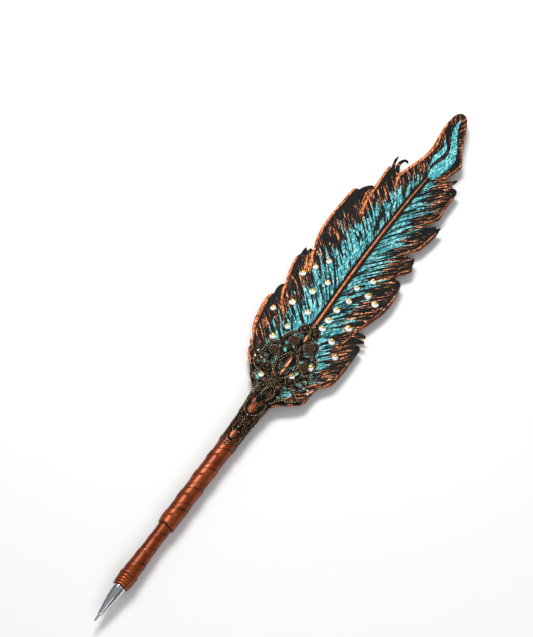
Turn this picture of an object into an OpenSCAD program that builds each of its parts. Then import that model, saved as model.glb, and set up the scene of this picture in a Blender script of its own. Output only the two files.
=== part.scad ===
// Feather quill pen: a ball pen wrapped in leather, with a leather feather and bronze filigree.
// X runs along the pen from the writing ball, Z is up out of the painted face, millimetres.

/* [Nose and refill] */
// Diameter of the writing ball
ball_d = 0.7; // [0.5:0.1:0.8]
// Gap between the ball and its socket
ball_gap = 0.015; // [0.01:0.005:0.03]
// Where the nose cone starts behind the ball's apex
nose_x = 3.2; // [2.8:0.1:3.6]
// Where the nose cone meets the grip
grip_x = 17.8; // [17:0.1:18.5]
// Radius of the nose cone at the grip
nose_r = 3; // [2.8:0.05:3.1]
// Radius of the nose cone's screwed shank
shank_r = 2; // [1.95:0.01:2.02]
// Radial gap of the screw
screw_gap = 0.04; // [0.03:0.01:0.05]
// Length of the screwed shank
shank_l = 9; // [7:0.5:10]
// Outer radius of the refill tube
refill_r = 1.5; // [1.4:0.05:1.55]
// Where the refill ends
refill_end_x = 110; // [100:1:111]

/* [Barrel] */
// Bore radius of the inner barrel
barrel_in_r = 2.35; // [2.3:0.01:2.4]
// Outer radius of the inner barrel inside the grip
barrel_grip_r = 2.75; // [2.6:0.05:2.8]
// Outer radius of the inner barrel behind the grip
barrel_r = 3.3; // [3.1:0.05:3.4]
// Where the grip wrap ends and the barrel wrap starts
step_x = 51; // [50:0.5:52]
// Where the barrel wrap ends
wrap_end_x = 97.5; // [95:0.5:98]
// Outer radius of the barrel wrap
wrap_r = 4.1; // [4:0.05:4.15]
// Where the inner barrel ends
barrel_end_x = 118; // [116:1:119]

/* [Feather] */
// Radius of the feather's crosswise curve
camber_r = 145; // [130:5:200]
// Thickness of each of the two leather layers
layer_t = 1.15; // [0.9:0.05:1.3]
// Radius of the steel wire between the layers
wire_r = 0.5; // [0.4:0.05:0.6]
// Where the wire ends
wire_end_x = 270; // [240:5:275]
// Height of the painted quill ridge above the leather
ridge_h = 0.5; // [0.3:0.1:0.7]

/* [Filigree] */
// Thickness of the bronze filigree
filigree_t = 0.4; // [0.3:0.05:0.5]
// Diameter of the domed bronze studs
stud_d = 3.6; // [3:0.1:4]
// Diameter of the woven bronze discs
disc_d = 4.6; // [4:0.1:5]
// Diameter of the white paint dots
dot_d = 2.8; // [2.4:0.1:3]

/* [Hidden] */

$fn = 64;
eps = 0.01;
fine = 24;

// Refill
ball_r = ball_d / 2;
socket_r = ball_r + ball_gap;
point_r = 0.6;
shoulder_r = 1.15;
channel_r = 0.15;
connector_x = 14;
tube_x = 17;
tube_in_r = 1.1;
ink_x = 22;
ink_end_x = 84;
grease_l = 4;
tail_l = 3;

// Nose cone
nose_tip_r = 0.95;
nose_bend_x = 12;
nose_bend_r = 2.55;
nose_bore_r = point_r + 0.08;
nose_wide_r = refill_r + 0.15;
insert_l = 12;

// Collar and grip, as radius steps along the pen
collar_end_x = 25;
grip_profile = [[collar_end_x, 3.75], [29, 3.7], [34, 3.55], [39, 3.35], [45, 3.2],
    [step_x - 1, 3.3], [step_x, 3.3]];
collar_edges = [17.8, 19.2, 20.4, 21.8, 23.3, collar_end_x];
collar_radii = [3.5, 3.75, 3.85, 3.95, 4.1];

// Neck, as leather radius along the pen
neck_profile = [[wrap_end_x, 4.05], [108, 4.15], [115, 4.4], [120, 4.9], [124.5, 5.3]];
neck_round_x = 124.5;
neck_round_r = 5.3;
neck_flat_x = 134;

// Feather surface heights
face_r = camber_r + layer_t;
back_r = camber_r - layer_t;

// Outline of the feather: each lobe is a smooth curve, lobes meet in corners
upper_lobes = [
    [[124.5, 5.6], [128, 6.3], [131, 8.4], [134, 11.4], [136.8, 13.2]],
    [[137.6, 13.4], [140, 15.8], [143, 18.6], [146, 20.1], [147.9, 19.9]],
    [[148.2, 20.3], [150, 21.9], [152.2, 21.9]],
    [[152.6, 22.1], [156, 24.6], [161, 26.5], [168, 27.9], [174, 28.5], [177, 27.6], [178, 26.6]],
    [[178.4, 26.8], [181, 27.2], [184, 26.6], [185.4, 25.1]],
    [[185.8, 25.3], [190, 27], [196, 28.5], [201, 29.1], [203.8, 28.5]],
    [[204.4, 27.6], [206, 27.9], [208.4, 27.6], [207.3, 26.6], [209.2, 26], [209.4, 24.4]],
    [[209.8, 24.5], [214, 26.2], [222, 28], [232, 28.5], [244, 28.1], [251.5, 27.5], [253, 24.7]],
    [[253.8, 24.6], [256.5, 23], [258.2, 21], [258.4, 19.5]],
    [[259, 19.5], [266, 19.8], [271.5, 20], [273.8, 19.2], [273.6, 16.6], [271.6, 13.4]]];
blade = [[[272.4, 12.9], [278, 11.2], [284, 9.3], [290, 7.9], [296, 7.6], [303, 8.4], [310, 8.9],
    [316, 8.7], [320, 7.9], [322.2, 6], [322.2, 3.6], [320, 1.1], [315, -1.3], [307, -4.2],
    [300, -7], [295, -9.8]],
    [[292.3, -11.1], [288, -10], [284, -8.9], [279.6, -8]]];
lower_lobes = [
    [[279.9, -8.4], [280.9, -10.2], [280.2, -12.4], [278.6, -13.6], [278.4, -15.8], [276, -16.9],
        [266, -16.9], [260.4, -17.6]],
    [[258.4, -17.4], [253.5, -14.3], [249.7, -12.2]],
    [[249.5, -12.9], [251, -15.9], [253.6, -18.3]],
    [[252.4, -19.2], [253.4, -20.6], [250, -20.9], [245, -20.2], [240, -19.1]],
    [[237.6, -18.5], [234, -15.6], [230.6, -13.2]],
    [[230.3, -13.9], [230.4, -16.6], [231.3, -19.2], [228, -20.4], [224.2, -21.2], [219, -17.2]],
    [[216.5, -16.6], [216, -19.8], [214.6, -21.4], [210, -22.4], [204, -22.9], [197, -22.3],
        [190, -20.4], [181.4, -17.6]],
    [[180.6, -18], [182, -21.4]],
    [[180.8, -21.4], [178.4, -19.4], [178.9, -22.5]],
    [[177.7, -22.2], [174.9, -19.8]],
    [[174.4, -20.6], [174.1, -23.3], [171, -23.6], [163, -23.6], [154.5, -23.2], [150, -22],
        [145.5, -18.6], [140, -17.5], [135, -17.1], [130.4, -12.2], [128, -8.6], [125, -6.4]]];
lobe_steps = 3;

// Loose barbs that curl clear of the vane, each as [centre line, widths]
wisps = [
    [[[273.2, 17.2], [276, 18.3], [278.5, 18.8], [280.6, 18.7]], [1, 0.9, 0.8, 0.5]],
    [[[272.6, 14.6], [275.5, 15.9], [278.5, 15.6], [280, 14.2], [279.6, 12.6]],
        [1.4, 1.2, 1.2, 1.1, 0.7]],
    [[[279.6, -11.6], [281.4, -12.4], [283.4, -13.3]], [1.5, 1.3, 0.8]]];
wisp_lift = 0.1;

// Painted quill ridge, as [x, y, width]
ridge_line = [[172.6, 0.2, 1.4], [180, 0.4, 1.3], [200, 1, 1.2], [220, 1.2, 1.1], [240, 1, 1],
    [260, 0.5, 0.9], [277.4, -0.4, 0.2]];

// Filigree: places across the feather face as [x, y]
flower_at = [135.3, 0.2];
flower_petals = 8;
petal_out = 2.6;
petal_r = 1.35;
studs_at = [[141.8, 6.9], [140.2, -6.4], [168.2, 3], [167.6, -2.7]];
discs_at = [[151, 8.9], [160, 4], [160, -4.6], [150, -7.9]];
loops_at = [[142.6, 12], [131.8, -10], [140.4, -12], [144.8, -11.4], [133.4, 9.4]];
stud_h = 0.9;
disc_h = 0.5;
loop_r = 2.1;
wire_w = 0.6;
plate_r = face_r + filigree_t;
spray_arms = [[[135.3, 4.2], [141.8, 6.9]], [[135.3, -3.8], [140.2, -6.4]],
    [[141.8, 6.9], [151, 8.9]], [[140.2, -6.4], [150, -7.9]], [[151, 8.9], [160, 4]],
    [[150, -7.9], [160, -4.6]], [[160, 4], [168.2, 3]], [[160, -4.6], [167.6, -2.7]],
    [[135.3, 4.2], [133.4, 9.4]], [[133.4, 9.4], [142.6, 12]], [[142.6, 12], [151, 8.9]],
    [[135.3, -3.8], [131.8, -10]], [[131.8, -10], [140.4, -12]], [[144.8, -11.4], [150, -7.9]],
    [[137.9, 0.2], [154, -0.8]], [[154, -0.8], [160, 4]], [[154, -0.8], [160, -4.6]],
    [[140.2, -6.4], [140.4, -12]], [[168.2, 3], [171.4, 0]], [[167.6, -2.7], [171.4, 0]],
    [[137.6, 1.2], [142.4, 1.4]], [[137.6, -1], [142, -2.8]]];
leaf_at = [[146.5, 1.4, 6], [146, -2.8, 6]];
sleeve_x = 97.6;

// Paint dots on the feather face as [x, y]
dots_at = [[157, 13.8], [165, 10.8], [170.4, 22.3], [176.6, 6.9], [178, 16.4], [188, 11.5],
    [194.8, 21.2], [196, 8], [201, 17.9], [207.2, 14.1], [172.6, -3.6], [178, -3.6], [185, -3.8],
    [192.4, -6], [200.8, -5.3], [208.3, -9.8], [200, -12], [198, -17], [179.6, -13.6], [169, -11],
    [163, -16.6]];
dot_h = 0.45;
bead_d = 1.6;
bead_h = 0.35;
bead_shift = [0.8, 0.25];

// One point of a smooth curve through four points a, b, c, d, at fraction t between b and c
function smooth_point(a, b, c, d, t) =
    0.5 * (2 * b + (c - a) * t + (2 * a - 5 * b + 4 * c - d) * t * t
        + (3 * b - a - 3 * c + d) * t * t * t);

// A smooth curve through a list of points, with its own end points kept
function smooth(pts, steps) = let (last = len(pts) - 1) concat(
    [for (i = [0 : last - 1], k = [0 : steps - 1]) smooth_point(
        pts[max(i - 1, 0)], pts[i], pts[i + 1], pts[min(i + 2, last)], k / steps)],
    [pts[last]]);

// A strip of varying width along a smooth line of [x, y, width] points
function strip(line, steps) = let (
    mid = smooth(line, steps),
    last = len(mid) - 1,
    run = [for (i = [0 : last]) mid[min(i + 1, last)] - mid[max(i - 1, 0)]],
    side = [for (r = run) [-r[1], r[0]] / norm([r[0], r[1]])]) concat(
    [for (i = [0 : last]) [mid[i][0], mid[i][1]] + side[i] * mid[i][2] / 2],
    [for (i = [last : -1 : 0]) [mid[i][0], mid[i][1]] - side[i] * mid[i][2] / 2]);

// Turns a shape drawn about Z so that it lies along X
module along_x(x = 0) {
    translate([x, 0, 0]) rotate([90, 0, 90]) children();
}

module rod(x1, x2, r) {
    along_x(x1) cylinder(h = x2 - x1, r = r);
}

module tube(x1, x2, r_out, r_in) {
    difference() {
        rod(x1, x2, r_out);
        rod(x1 - 1, x2 + 1, r_in);
    }
}

// A turned solid from [x, radius] points
module turned(profile) {
    last = len(profile) - 1;
    along_x() rotate_extrude() polygon(concat(
        [[0, profile[0][0]]],
        [for (p = profile) [p[1], p[0]]],
        [[0, profile[last][0]]]));
}

// The band between two heights over the curved feather, cut to a flat outline
module feather_band(r_low, r_high) {
    intersection() {
        translate([0, 0, -camber_r / 4]) linear_extrude(camber_r / 3) children();
        translate([0, 0, -camber_r]) difference() {
            rod(90, 330, r_high);
            rod(80, 340, r_low);
        }
    }
}

// Stands a small shape on the curved feather at [x, y], at radius r
module on_feather(at, r) {
    lean = asin(at[1] / r);
    translate([at[0], at[1], r * cos(lean) - camber_r]) rotate([-lean, 0, 0]) children();
}

// A low dome with a flat base
module dome(d, h) {
    bow = (d * d / 4 + h * h) / (2 * h);
    rotate_extrude($fn = fine) polygon(concat([[0, 0]],
        [for (k = [0 : 5]) let (x = d / 2 * (1 - k / 5)) [x, h - bow + sqrt(bow * bow - x * x)]]));
}

module feather_outline() {
    polygon([for (part = concat(upper_lobes, blade, lower_lobes), p = smooth(part, lobe_steps)) p]);
}

module writing_ball() {
    color("silver") translate([ball_r, 0, 0]) sphere(ball_r);
}

module refill_point() {
    color("gainsboro") difference() {
        turned([[ball_r / 2, ball_r + 0.02], [0.5, ball_r + 0.07], [1.4, 0.52],
            [nose_x, point_r], [6.5, point_r],
            [7.5, shoulder_r], [connector_x, shoulder_r], [connector_x, 1], [connector_x + 2, 1]]);
        translate([ball_r, 0, 0]) sphere(socket_r);
        rod(0, connector_x + 3, channel_r);
    }
}

module refill_connector() {
    color("white") difference() {
        union() {
            rod(connector_x, tube_x, refill_r);
            rod(tube_x, tube_x + 3, tube_in_r);
        }
        rod(connector_x - 1, connector_x + 2, 1);
        rod(connector_x, tube_x + 4, 0.5);
    }
}

module refill_tube() {
    color("gainsboro") tube(tube_x, refill_end_x, refill_r, tube_in_r);
}

module refill_ink() {
    color("midnightblue") rod(ink_x, ink_end_x, tube_in_r);
}

module refill_grease() {
    color("lightyellow") rod(ink_end_x, ink_end_x + grease_l, tube_in_r);
}

module refill_tail_plug() {
    color("white") tube(refill_end_x - tail_l, refill_end_x, tube_in_r, 0.3);
}

module nose_cone() {
    color("silver") difference() {
        turned([[nose_x, nose_tip_r], [nose_bend_x, nose_bend_r], [grip_x - 0.1, nose_r],
            [grip_x - 0.1, shank_r], [grip_x + shank_l, shank_r]]);
        rod(nose_x - 1, 7, nose_bore_r);
        along_x(6.4) cylinder(h = 1.4, r1 = nose_bore_r, r2 = nose_wide_r);
        rod(7.6, grip_x + shank_l + 1, nose_wide_r);
    }
}

module thread_insert() {
    color("goldenrod") tube(grip_x + 0.2, grip_x + insert_l, barrel_in_r, shank_r + screw_gap);
}

module inner_barrel() {
    color("dimgray") difference() {
        union() {
            rod(grip_x + 0.1, step_x, barrel_grip_r);
            rod(step_x, barrel_end_x, barrel_r);
        }
        rod(grip_x - 1, barrel_end_x + 1, barrel_in_r);
    }
}

module barrel_end_plug() {
    color("dimgray") tube(refill_end_x + 1.5, barrel_end_x, barrel_in_r, wire_r);
}

module quill_wire() {
    color("lightgray") rod(refill_end_x + 3, wire_end_x, wire_r);
}

module grip_wrap() {
    color("peru") difference() {
        turned(grip_profile);
        rod(grip_x, step_x + 1, barrel_grip_r);
    }
}

module collar_windings() {
    last = len(collar_radii) - 1;
    soft = 0.25;
    color("peru") difference() {
        union() for (i = [0 : last]) turned([
            [collar_edges[i], collar_radii[i] - soft],
            [collar_edges[i] + soft, collar_radii[i]],
            [collar_edges[i + 1] - soft, collar_radii[i]],
            [collar_edges[i + 1], collar_radii[i] - soft]]);
        rod(grip_x - 1, collar_end_x + 1, barrel_grip_r);
    }
}

module barrel_wrap() {
    color("peru") tube(step_x, wrap_end_x, wrap_r, barrel_r);
}

module neck_round(grow = 0) {
    turned([for (p = neck_profile) [p[0], p[1] + grow]]);
}

// The leather neck goes from round to flat where it becomes the feather
module neck_body(grow = 0) {
    neck_round(grow);
    hull() {
        rod(neck_round_x - eps, neck_round_x, neck_round_r + grow, $fn = 32);
        for (side = [-1, 1]) translate([neck_flat_x - 1, side * 3.5, 0])
            sphere(layer_t + 0.2 + grow, $fn = fine);
    }
}

module neck_wrap() {
    color("peru") difference() {
        neck_body();
        rod(wrap_end_x - 1, barrel_end_x, barrel_r);
        rod(barrel_end_x - 1, neck_flat_x + 1, wire_r);
        feather_band(back_r, face_r) feather_outline();
    }
}

module feather_front() {
    color("darkturquoise") difference() {
        feather_band(camber_r, face_r) feather_outline();
        rod(120, wire_end_x, wire_r);
    }
}

module feather_back() {
    color("peru") difference() {
        feather_band(back_r, camber_r) feather_outline();
        rod(120, wire_end_x, wire_r);
    }
}

module feather_wisps() {
    color("#2b1a12") difference() {
        feather_band(camber_r - wisp_lift, face_r - wisp_lift) for (w = wisps)
            polygon(strip([for (i = [0 : len(w[1]) - 1]) concat(w[0][i], w[1][i])], 4));
        feather_band(back_r, face_r + eps) feather_outline();
    }
}

module quill_ridge() {
    color("peru") feather_band(face_r, face_r + ridge_h) polygon(strip(ridge_line, 3));
}

// Bronze openwork round the neck
module filigree_sleeve() {
    windows = [[103.8, 2.6], [108.4, 2.2], [112.8, 2.2], [120.6, 2.4]];
    color("#4a3a28") difference() {
        neck_round(filigree_t);
        neck_round();
        rod(90, sleeve_x, 6);
        rod(90, neck_round_x, 4);
        for (w = windows, turn = [0 : 60 : 300])
            rotate([turn, 0, 0]) translate([w[0], 0, 3]) cylinder(h = 6, r = w[1] / 2, $fn = fine);
    }
}

module bar(from, to, w) {
    run = to - from;
    translate(from) rotate(atan2(run[1], run[0])) translate([0, -w / 2]) square([norm(run), w]);
}

module ring(at, r_out, r_in) {
    translate(at) difference() {
        circle(r_out, $fn = fine);
        circle(r_in, $fn = fine);
    }
}

// A pointed leaf drawn as a frame
module leaf_frame(at, length) {
    bow = length * 0.95;
    off = sqrt(bow * bow - length * length / 4);
    translate(at) difference() {
        intersection_for(s = [-1, 1]) translate([0, s * off]) circle(bow);
        intersection_for(s = [-1, 1]) translate([0, s * off]) circle(bow - wire_w);
    }
}

module spray_outline() {
    translate(flower_at) {
        circle(1.6, $fn = fine);
        for (k = [0 : flower_petals - 1]) rotate(k * 360 / flower_petals)
            translate([petal_out, 0]) circle(petal_r, $fn = fine);
    }
    for (at = studs_at) translate(at) circle(stud_d / 2 + 0.3, $fn = fine);
    for (at = discs_at) translate(at) circle(disc_d / 2 + 0.1, $fn = fine);
    for (at = loops_at) ring(at, loop_r, loop_r - wire_w);
    for (arm = spray_arms) bar(arm[0], arm[1], wire_w);
    for (leaf = leaf_at) leaf_frame([leaf[0], leaf[1]], leaf[2] * 1.6);
    translate([171.4, 0]) circle(0.9, $fn = fine);
}

module filigree_spray() {
    color("#4a3a28") difference() {
        feather_band(face_r, plate_r) spray_outline();
        neck_body(filigree_t + 0.02);
    }
}

module flower_centre() {
    color("#6b5636") on_feather(flower_at, plate_r) difference() {
        dome(3, 0.7);
        translate([0, 0, 0.3]) cylinder(h = 1, r = 0.5, $fn = fine);
    }
}

module bronze_studs() {
    color("#4a3422") for (at = studs_at) on_feather(at, plate_r) dome(stud_d, stud_h);
}

module woven_discs() {
    color("#5c4a30") for (at = discs_at) on_feather(at, plate_r) difference() {
        cylinder(h = disc_h, r = disc_d / 2, $fn = fine);
        for (turn = [0 : 60 : 300]) rotate([0, 0, turn]) translate([1.3, 0, disc_h - 0.2])
            cylinder(h = 1, r = 0.35, $fn = fine);
    }
}

module paint_dots_white() {
    color("white") for (at = dots_at) difference() {
        on_feather(at, face_r) dome(dot_d, dot_h);
        on_feather(at + bead_shift, face_r + 0.2) cylinder(h = 2, r = bead_d / 2, $fn = fine);
    }
}

module paint_dots_gold() {
    color("gold") for (at = dots_at) on_feather(at + bead_shift, face_r + 0.2) dome(bead_d, bead_h);
}

writing_ball();
refill_point();
refill_connector();
refill_tube();
refill_ink();
refill_grease();
refill_tail_plug();
nose_cone();
thread_insert();
inner_barrel();
barrel_end_plug();
quill_wire();
grip_wrap();
collar_windings();
barrel_wrap();
neck_wrap();
feather_front();
feather_back();
feather_wisps();
quill_ridge();
filigree_sleeve();
filigree_spray();
flower_centre();
bronze_studs();
woven_discs();
paint_dots_white();
paint_dots_gold();
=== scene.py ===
from math import pi, radians
import bmesh
import bpy
import numpy as np
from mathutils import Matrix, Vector
from mathutils.geometry import delaunay_2d_cdt


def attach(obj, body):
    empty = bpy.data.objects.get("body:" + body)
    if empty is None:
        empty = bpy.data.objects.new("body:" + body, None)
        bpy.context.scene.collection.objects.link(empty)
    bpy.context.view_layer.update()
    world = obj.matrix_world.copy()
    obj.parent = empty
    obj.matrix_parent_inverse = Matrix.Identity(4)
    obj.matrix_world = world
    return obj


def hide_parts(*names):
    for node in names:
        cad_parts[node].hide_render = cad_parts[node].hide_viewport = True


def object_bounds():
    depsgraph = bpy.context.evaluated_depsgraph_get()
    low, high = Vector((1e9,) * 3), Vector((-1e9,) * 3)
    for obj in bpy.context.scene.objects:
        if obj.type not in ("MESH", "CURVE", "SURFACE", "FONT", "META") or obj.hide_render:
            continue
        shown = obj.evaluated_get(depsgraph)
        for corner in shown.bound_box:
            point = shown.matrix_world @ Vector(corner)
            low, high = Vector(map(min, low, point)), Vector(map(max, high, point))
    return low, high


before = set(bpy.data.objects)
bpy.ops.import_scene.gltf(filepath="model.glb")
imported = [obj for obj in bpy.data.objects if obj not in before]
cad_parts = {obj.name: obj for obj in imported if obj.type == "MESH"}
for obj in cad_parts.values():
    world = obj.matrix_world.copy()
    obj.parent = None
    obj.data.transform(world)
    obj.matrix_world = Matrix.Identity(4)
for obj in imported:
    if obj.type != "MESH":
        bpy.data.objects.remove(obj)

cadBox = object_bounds()
mm = 0.001  # every length below is in millimetres until a mesh is made
print("feather pen: CAD frame loaded")


def hexColour(code, alpha=1.0):
    # sRGB hex to the linear values that shaders use
    parts = [int(code[i:i + 2], 16) / 255 for i in (1, 3, 5)]
    return [c / 12.92 if c <= 0.04045 else ((c + 0.055) / 1.055) ** 2.4 for c in parts] + [alpha]


def setInputs(tree, node, inputs):
    # fills or links a node's inputs, given by name or number, or as a list from the first
    for socket, value in inputs.items() if isinstance(inputs, dict) else enumerate(inputs):
        if isinstance(value, bpy.types.NodeSocket):
            tree.links.new(value, node.inputs[socket])
        else:
            node.inputs[socket].default_value = value


def addNode(tree, kind, inputs=(), output=0, stops=(), **settings):
    # adds one node, sets its properties, inputs and any colour stops, and gives back one of its outputs
    node = tree.nodes.new("ShaderNode" + kind)
    for name, value in settings.items():
        setattr(node, name, value)
    for count in range(2, len(stops)):
        node.color_ramp.elements.new(0.5)
    for k, (position, colour) in enumerate(stops):
        node.color_ramp.elements[k].position = position
        node.color_ramp.elements[k].color = hexColour(colour)
    setInputs(tree, node, inputs)
    return node.outputs[output] if len(node.outputs) else None


def newMaterial(name):
    material = bpy.data.materials.new(name)
    material.use_nodes = True
    tree = material.node_tree
    tree.nodes.clear()
    surface = addNode(tree, "BsdfPrincipled")
    addNode(tree, "OutputMaterial", {"Surface": surface})
    return material, tree, surface.node


def smoothCurve(points, perSpan=8):
    # a cubic through the points (Catmull-Rom), as one array: half of
    # 2b + (c-a)t + (2a-5b+4c-d)t^2 + (3b-a-3c+d)t^3 on each span from b to c
    p = np.array(points, float)
    held = np.vstack([p[:1], p, p[-1:]])
    a, b, c, d = (held[i:len(p) - 1 + i, None, :] for i in range(4))
    t = (np.arange(perSpan) / perSpan)[None, :, None]
    curve = 0.5 * (2 * b + (c - a) * t + (2 * a - 5 * b + 4 * c - d) * t ** 2
                   + (3 * b - a - 3 * c + d) * t ** 3)
    return np.vstack([curve.reshape(-1, p.shape[1]), p[-1:]])


def evenly(points, step):
    # the same line with points about one step apart along it
    run = np.concatenate([[0], np.cumsum(np.linalg.norm(np.diff(points, axis=0), axis=1))])
    at = np.linspace(0, run[-1], max(2, int(round(run[-1] / step)) + 1))
    return np.stack([np.interp(at, run, points[:, k]) for k in range(points.shape[1])], 1)


def gridQuads(rows, columns, closed=True):
    # faces of a rows by columns grid, joined round if closed
    r, c = np.meshgrid(np.arange(rows - 1), np.arange(columns if closed else columns - 1), indexing="ij")
    nextColumn = (c + 1) % columns
    quads = np.stack([r * columns + c, r * columns + nextColumn,
                      (r + 1) * columns + nextColumn, (r + 1) * columns + c], -1)
    return quads.reshape(-1, 4)


def closedTube(rings):
    # rings: stations by columns by xyz. Adds a middle point at each end, so the skin is closed
    stations, columns = rings.shape[:2]
    verts = np.vstack([rings.reshape(-1, 3), rings[0].mean(0)[None], rings[-1].mean(0)[None]])
    around = np.arange(columns)
    ahead = (around + 1) % columns
    base = (stations - 1) * columns
    first = np.stack([np.full(columns, stations * columns), ahead, around], 1)
    last = np.stack([np.full(columns, stations * columns + 1), base + around, base + ahead], 1)
    return verts, gridQuads(stations, columns).tolist() + first.tolist() + last.tolist()


def sweep(path, widths, heights=None, up=(0, 0, 1), sides=8):
    # a profile carried along a path: point(i, a) = path(i) + width cos(a) side + height sin(a) normal
    path = np.asarray(path, float)
    tangent = np.gradient(path, axis=0)
    tangent /= np.linalg.norm(tangent, axis=1)[:, None]
    ups = np.broadcast_to(np.asarray(up, float), path.shape)
    side = np.cross(ups, tangent)
    side /= np.linalg.norm(side, axis=1)[:, None] + 1e-12
    normal = np.cross(tangent, side)
    angle = np.arange(sides) / sides * 2 * pi
    wide = np.broadcast_to(np.asarray(widths, float), (len(path),))[:, None, None] / 2
    high = np.broadcast_to(np.asarray(widths if heights is None else heights, float),
                           (len(path),))[:, None, None] / 2
    return closedTube(path[:, None] + wide * np.cos(angle)[None, :, None] * side[:, None]
                      + high * np.sin(angle)[None, :, None] * normal[:, None])


def loopWire(path, width, up=(0, 0, 1), sides=8):
    # the same for a path that closes on itself, so it needs no ends
    path = np.asarray(path, float)
    tangent = np.roll(path, -1, 0) - np.roll(path, 1, 0)
    tangent /= np.linalg.norm(tangent, axis=1)[:, None]
    side = np.cross(np.broadcast_to(np.asarray(up, float), path.shape), tangent)
    side /= np.linalg.norm(side, axis=1)[:, None]
    normal = np.cross(tangent, side)
    angle = np.arange(sides) / sides * 2 * pi
    rings = (path[:, None] + width / 2 * (np.cos(angle)[None, :, None] * side[:, None]
                                          + np.sin(angle)[None, :, None] * normal[:, None]))
    quads = gridQuads(len(path) + 1, sides) % (len(path) * sides)
    return rings.reshape(-1, 3), quads.tolist()


def aroundX(x, radius):
    # points (x, r sin a, r cos a): x and radius are rows by columns, a runs round the columns
    angle = np.arange(radius.shape[1]) / radius.shape[1] * 2 * pi
    return np.stack([np.broadcast_to(x, radius.shape), radius * np.sin(angle), radius * np.cos(angle)], -1)


def hollowTurning(x, radius):
    # rows of radii that run out along the outside and back along the bore, joined both ways
    rows, columns = radius.shape
    quads = gridQuads(rows + 1, columns) % (rows * columns)
    return aroundX(x, radius).reshape(-1, 3), quads.tolist()


def roundedProfile(points, radius=0.15, steps=4):
    # (x, radius) corners, each cut back by the same amount and bridged by a quadratic arc
    p = np.array(points, float)
    out = [p[:1]]
    for before, corner, after in zip(p[:-2], p[1:-1], p[2:]):
        lengths = np.linalg.norm(before - corner), np.linalg.norm(after - corner)
        cut = min(radius, *(0.45 * length for length in lengths))
        start = corner + (before - corner) / lengths[0] * cut
        end = corner + (after - corner) / lengths[1] * cut
        t = np.linspace(0, 1, steps + 1)[:, None]
        out.append((1 - t) ** 2 * start + 2 * t * (1 - t) * corner + t ** 2 * end)
    return np.vstack(out + [p[-1:]])


def beads(centres, radii, rings=6, columns=10):
    # small spheres, all made at once
    centres = np.asarray(centres, float).reshape(-1, 3)
    radii = np.broadcast_to(np.asarray(radii, float), (len(centres),))
    lat = np.linspace(0.12, pi - 0.12, rings)
    lon = np.arange(columns) / columns * 2 * pi
    unit = np.stack([np.outer(np.sin(lat), np.cos(lon)), np.outer(np.sin(lat), np.sin(lon)),
                     np.outer(np.cos(lat), np.ones(columns))], -1)[::-1]
    verts, faces = closedTube(unit)
    count = len(verts)
    every = (centres[:, None] + radii[:, None, None] * verts[None]).reshape(-1, 3)
    return every, [[i + k * count for i in face] for k in range(len(centres)) for face in faces]


def joinParts(parts):
    verts, faces, start = [], [], 0
    for partVerts, partFaces in parts:
        verts.append(partVerts)
        faces += [[i + start for i in face] for face in partFaces]
        start += len(partVerts)
    return np.vstack(verts), faces


def makePiece(name, geometry, material, replaced=(), body="pen", attributes=None):
    verts, faces = geometry
    mesh = bpy.data.meshes.new(name)
    mesh.from_pydata((np.asarray(verts) * mm).tolist(), [], faces)
    shell = bmesh.new()
    shell.from_mesh(mesh)
    bmesh.ops.recalc_face_normals(shell, faces=shell.faces)
    shell.to_mesh(mesh)
    shell.free()
    mesh.polygons.foreach_set("use_smooth", np.ones(len(mesh.polygons), bool))
    for label, values in (attributes or {}).items():
        values = np.asarray(values, np.float32)
        kind = "FLOAT" if values.ndim == 1 else "FLOAT_VECTOR"
        layer = mesh.attributes.new(label, kind, "POINT")
        layer.data.foreach_set("value" if values.ndim == 1 else "vector", values.ravel())
    mesh.materials.append(material)
    mesh.update()
    piece = bpy.data.objects.new(name, mesh)
    bpy.context.scene.collection.objects.link(piece)
    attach(piece, body)
    if replaced:
        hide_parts(*replaced)
    return piece


# camera, light and floor
studio = {
    "target": (163.8, 21.7, 0),
    "eye": (-152.6, -185.1, 593.3),
    "lens": 84.77,
    "floor": "#F4F4F2",
    "floorSize": 6000,
    "keyWatts": 4.4,
    "fillWatts": 1.6,
    "sky": [(0.05, "#2C2D30"), (0.75, "#FFFFFF")],
    "skyGlow": 0.4,
}


def lookAlong(thing, eye, target):
    thing.location = Vector(eye) * mm
    thing.rotation_euler = (Vector(target) - Vector(eye)).to_track_quat("-Z", "Y").to_euler()


def softBox(name, eye, size, watts, colour="#FFFFFF"):
    light = bpy.data.lights.new(name, "AREA")
    light.shape = "RECTANGLE"
    light.size, light.size_y = size[0] * mm, size[1] * mm
    light.energy = watts
    light.color = hexColour(colour)[:3]
    lamp = bpy.data.objects.new(name, light)
    bpy.context.scene.collection.objects.link(lamp)
    lookAlong(lamp, eye, studio["target"])


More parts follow.
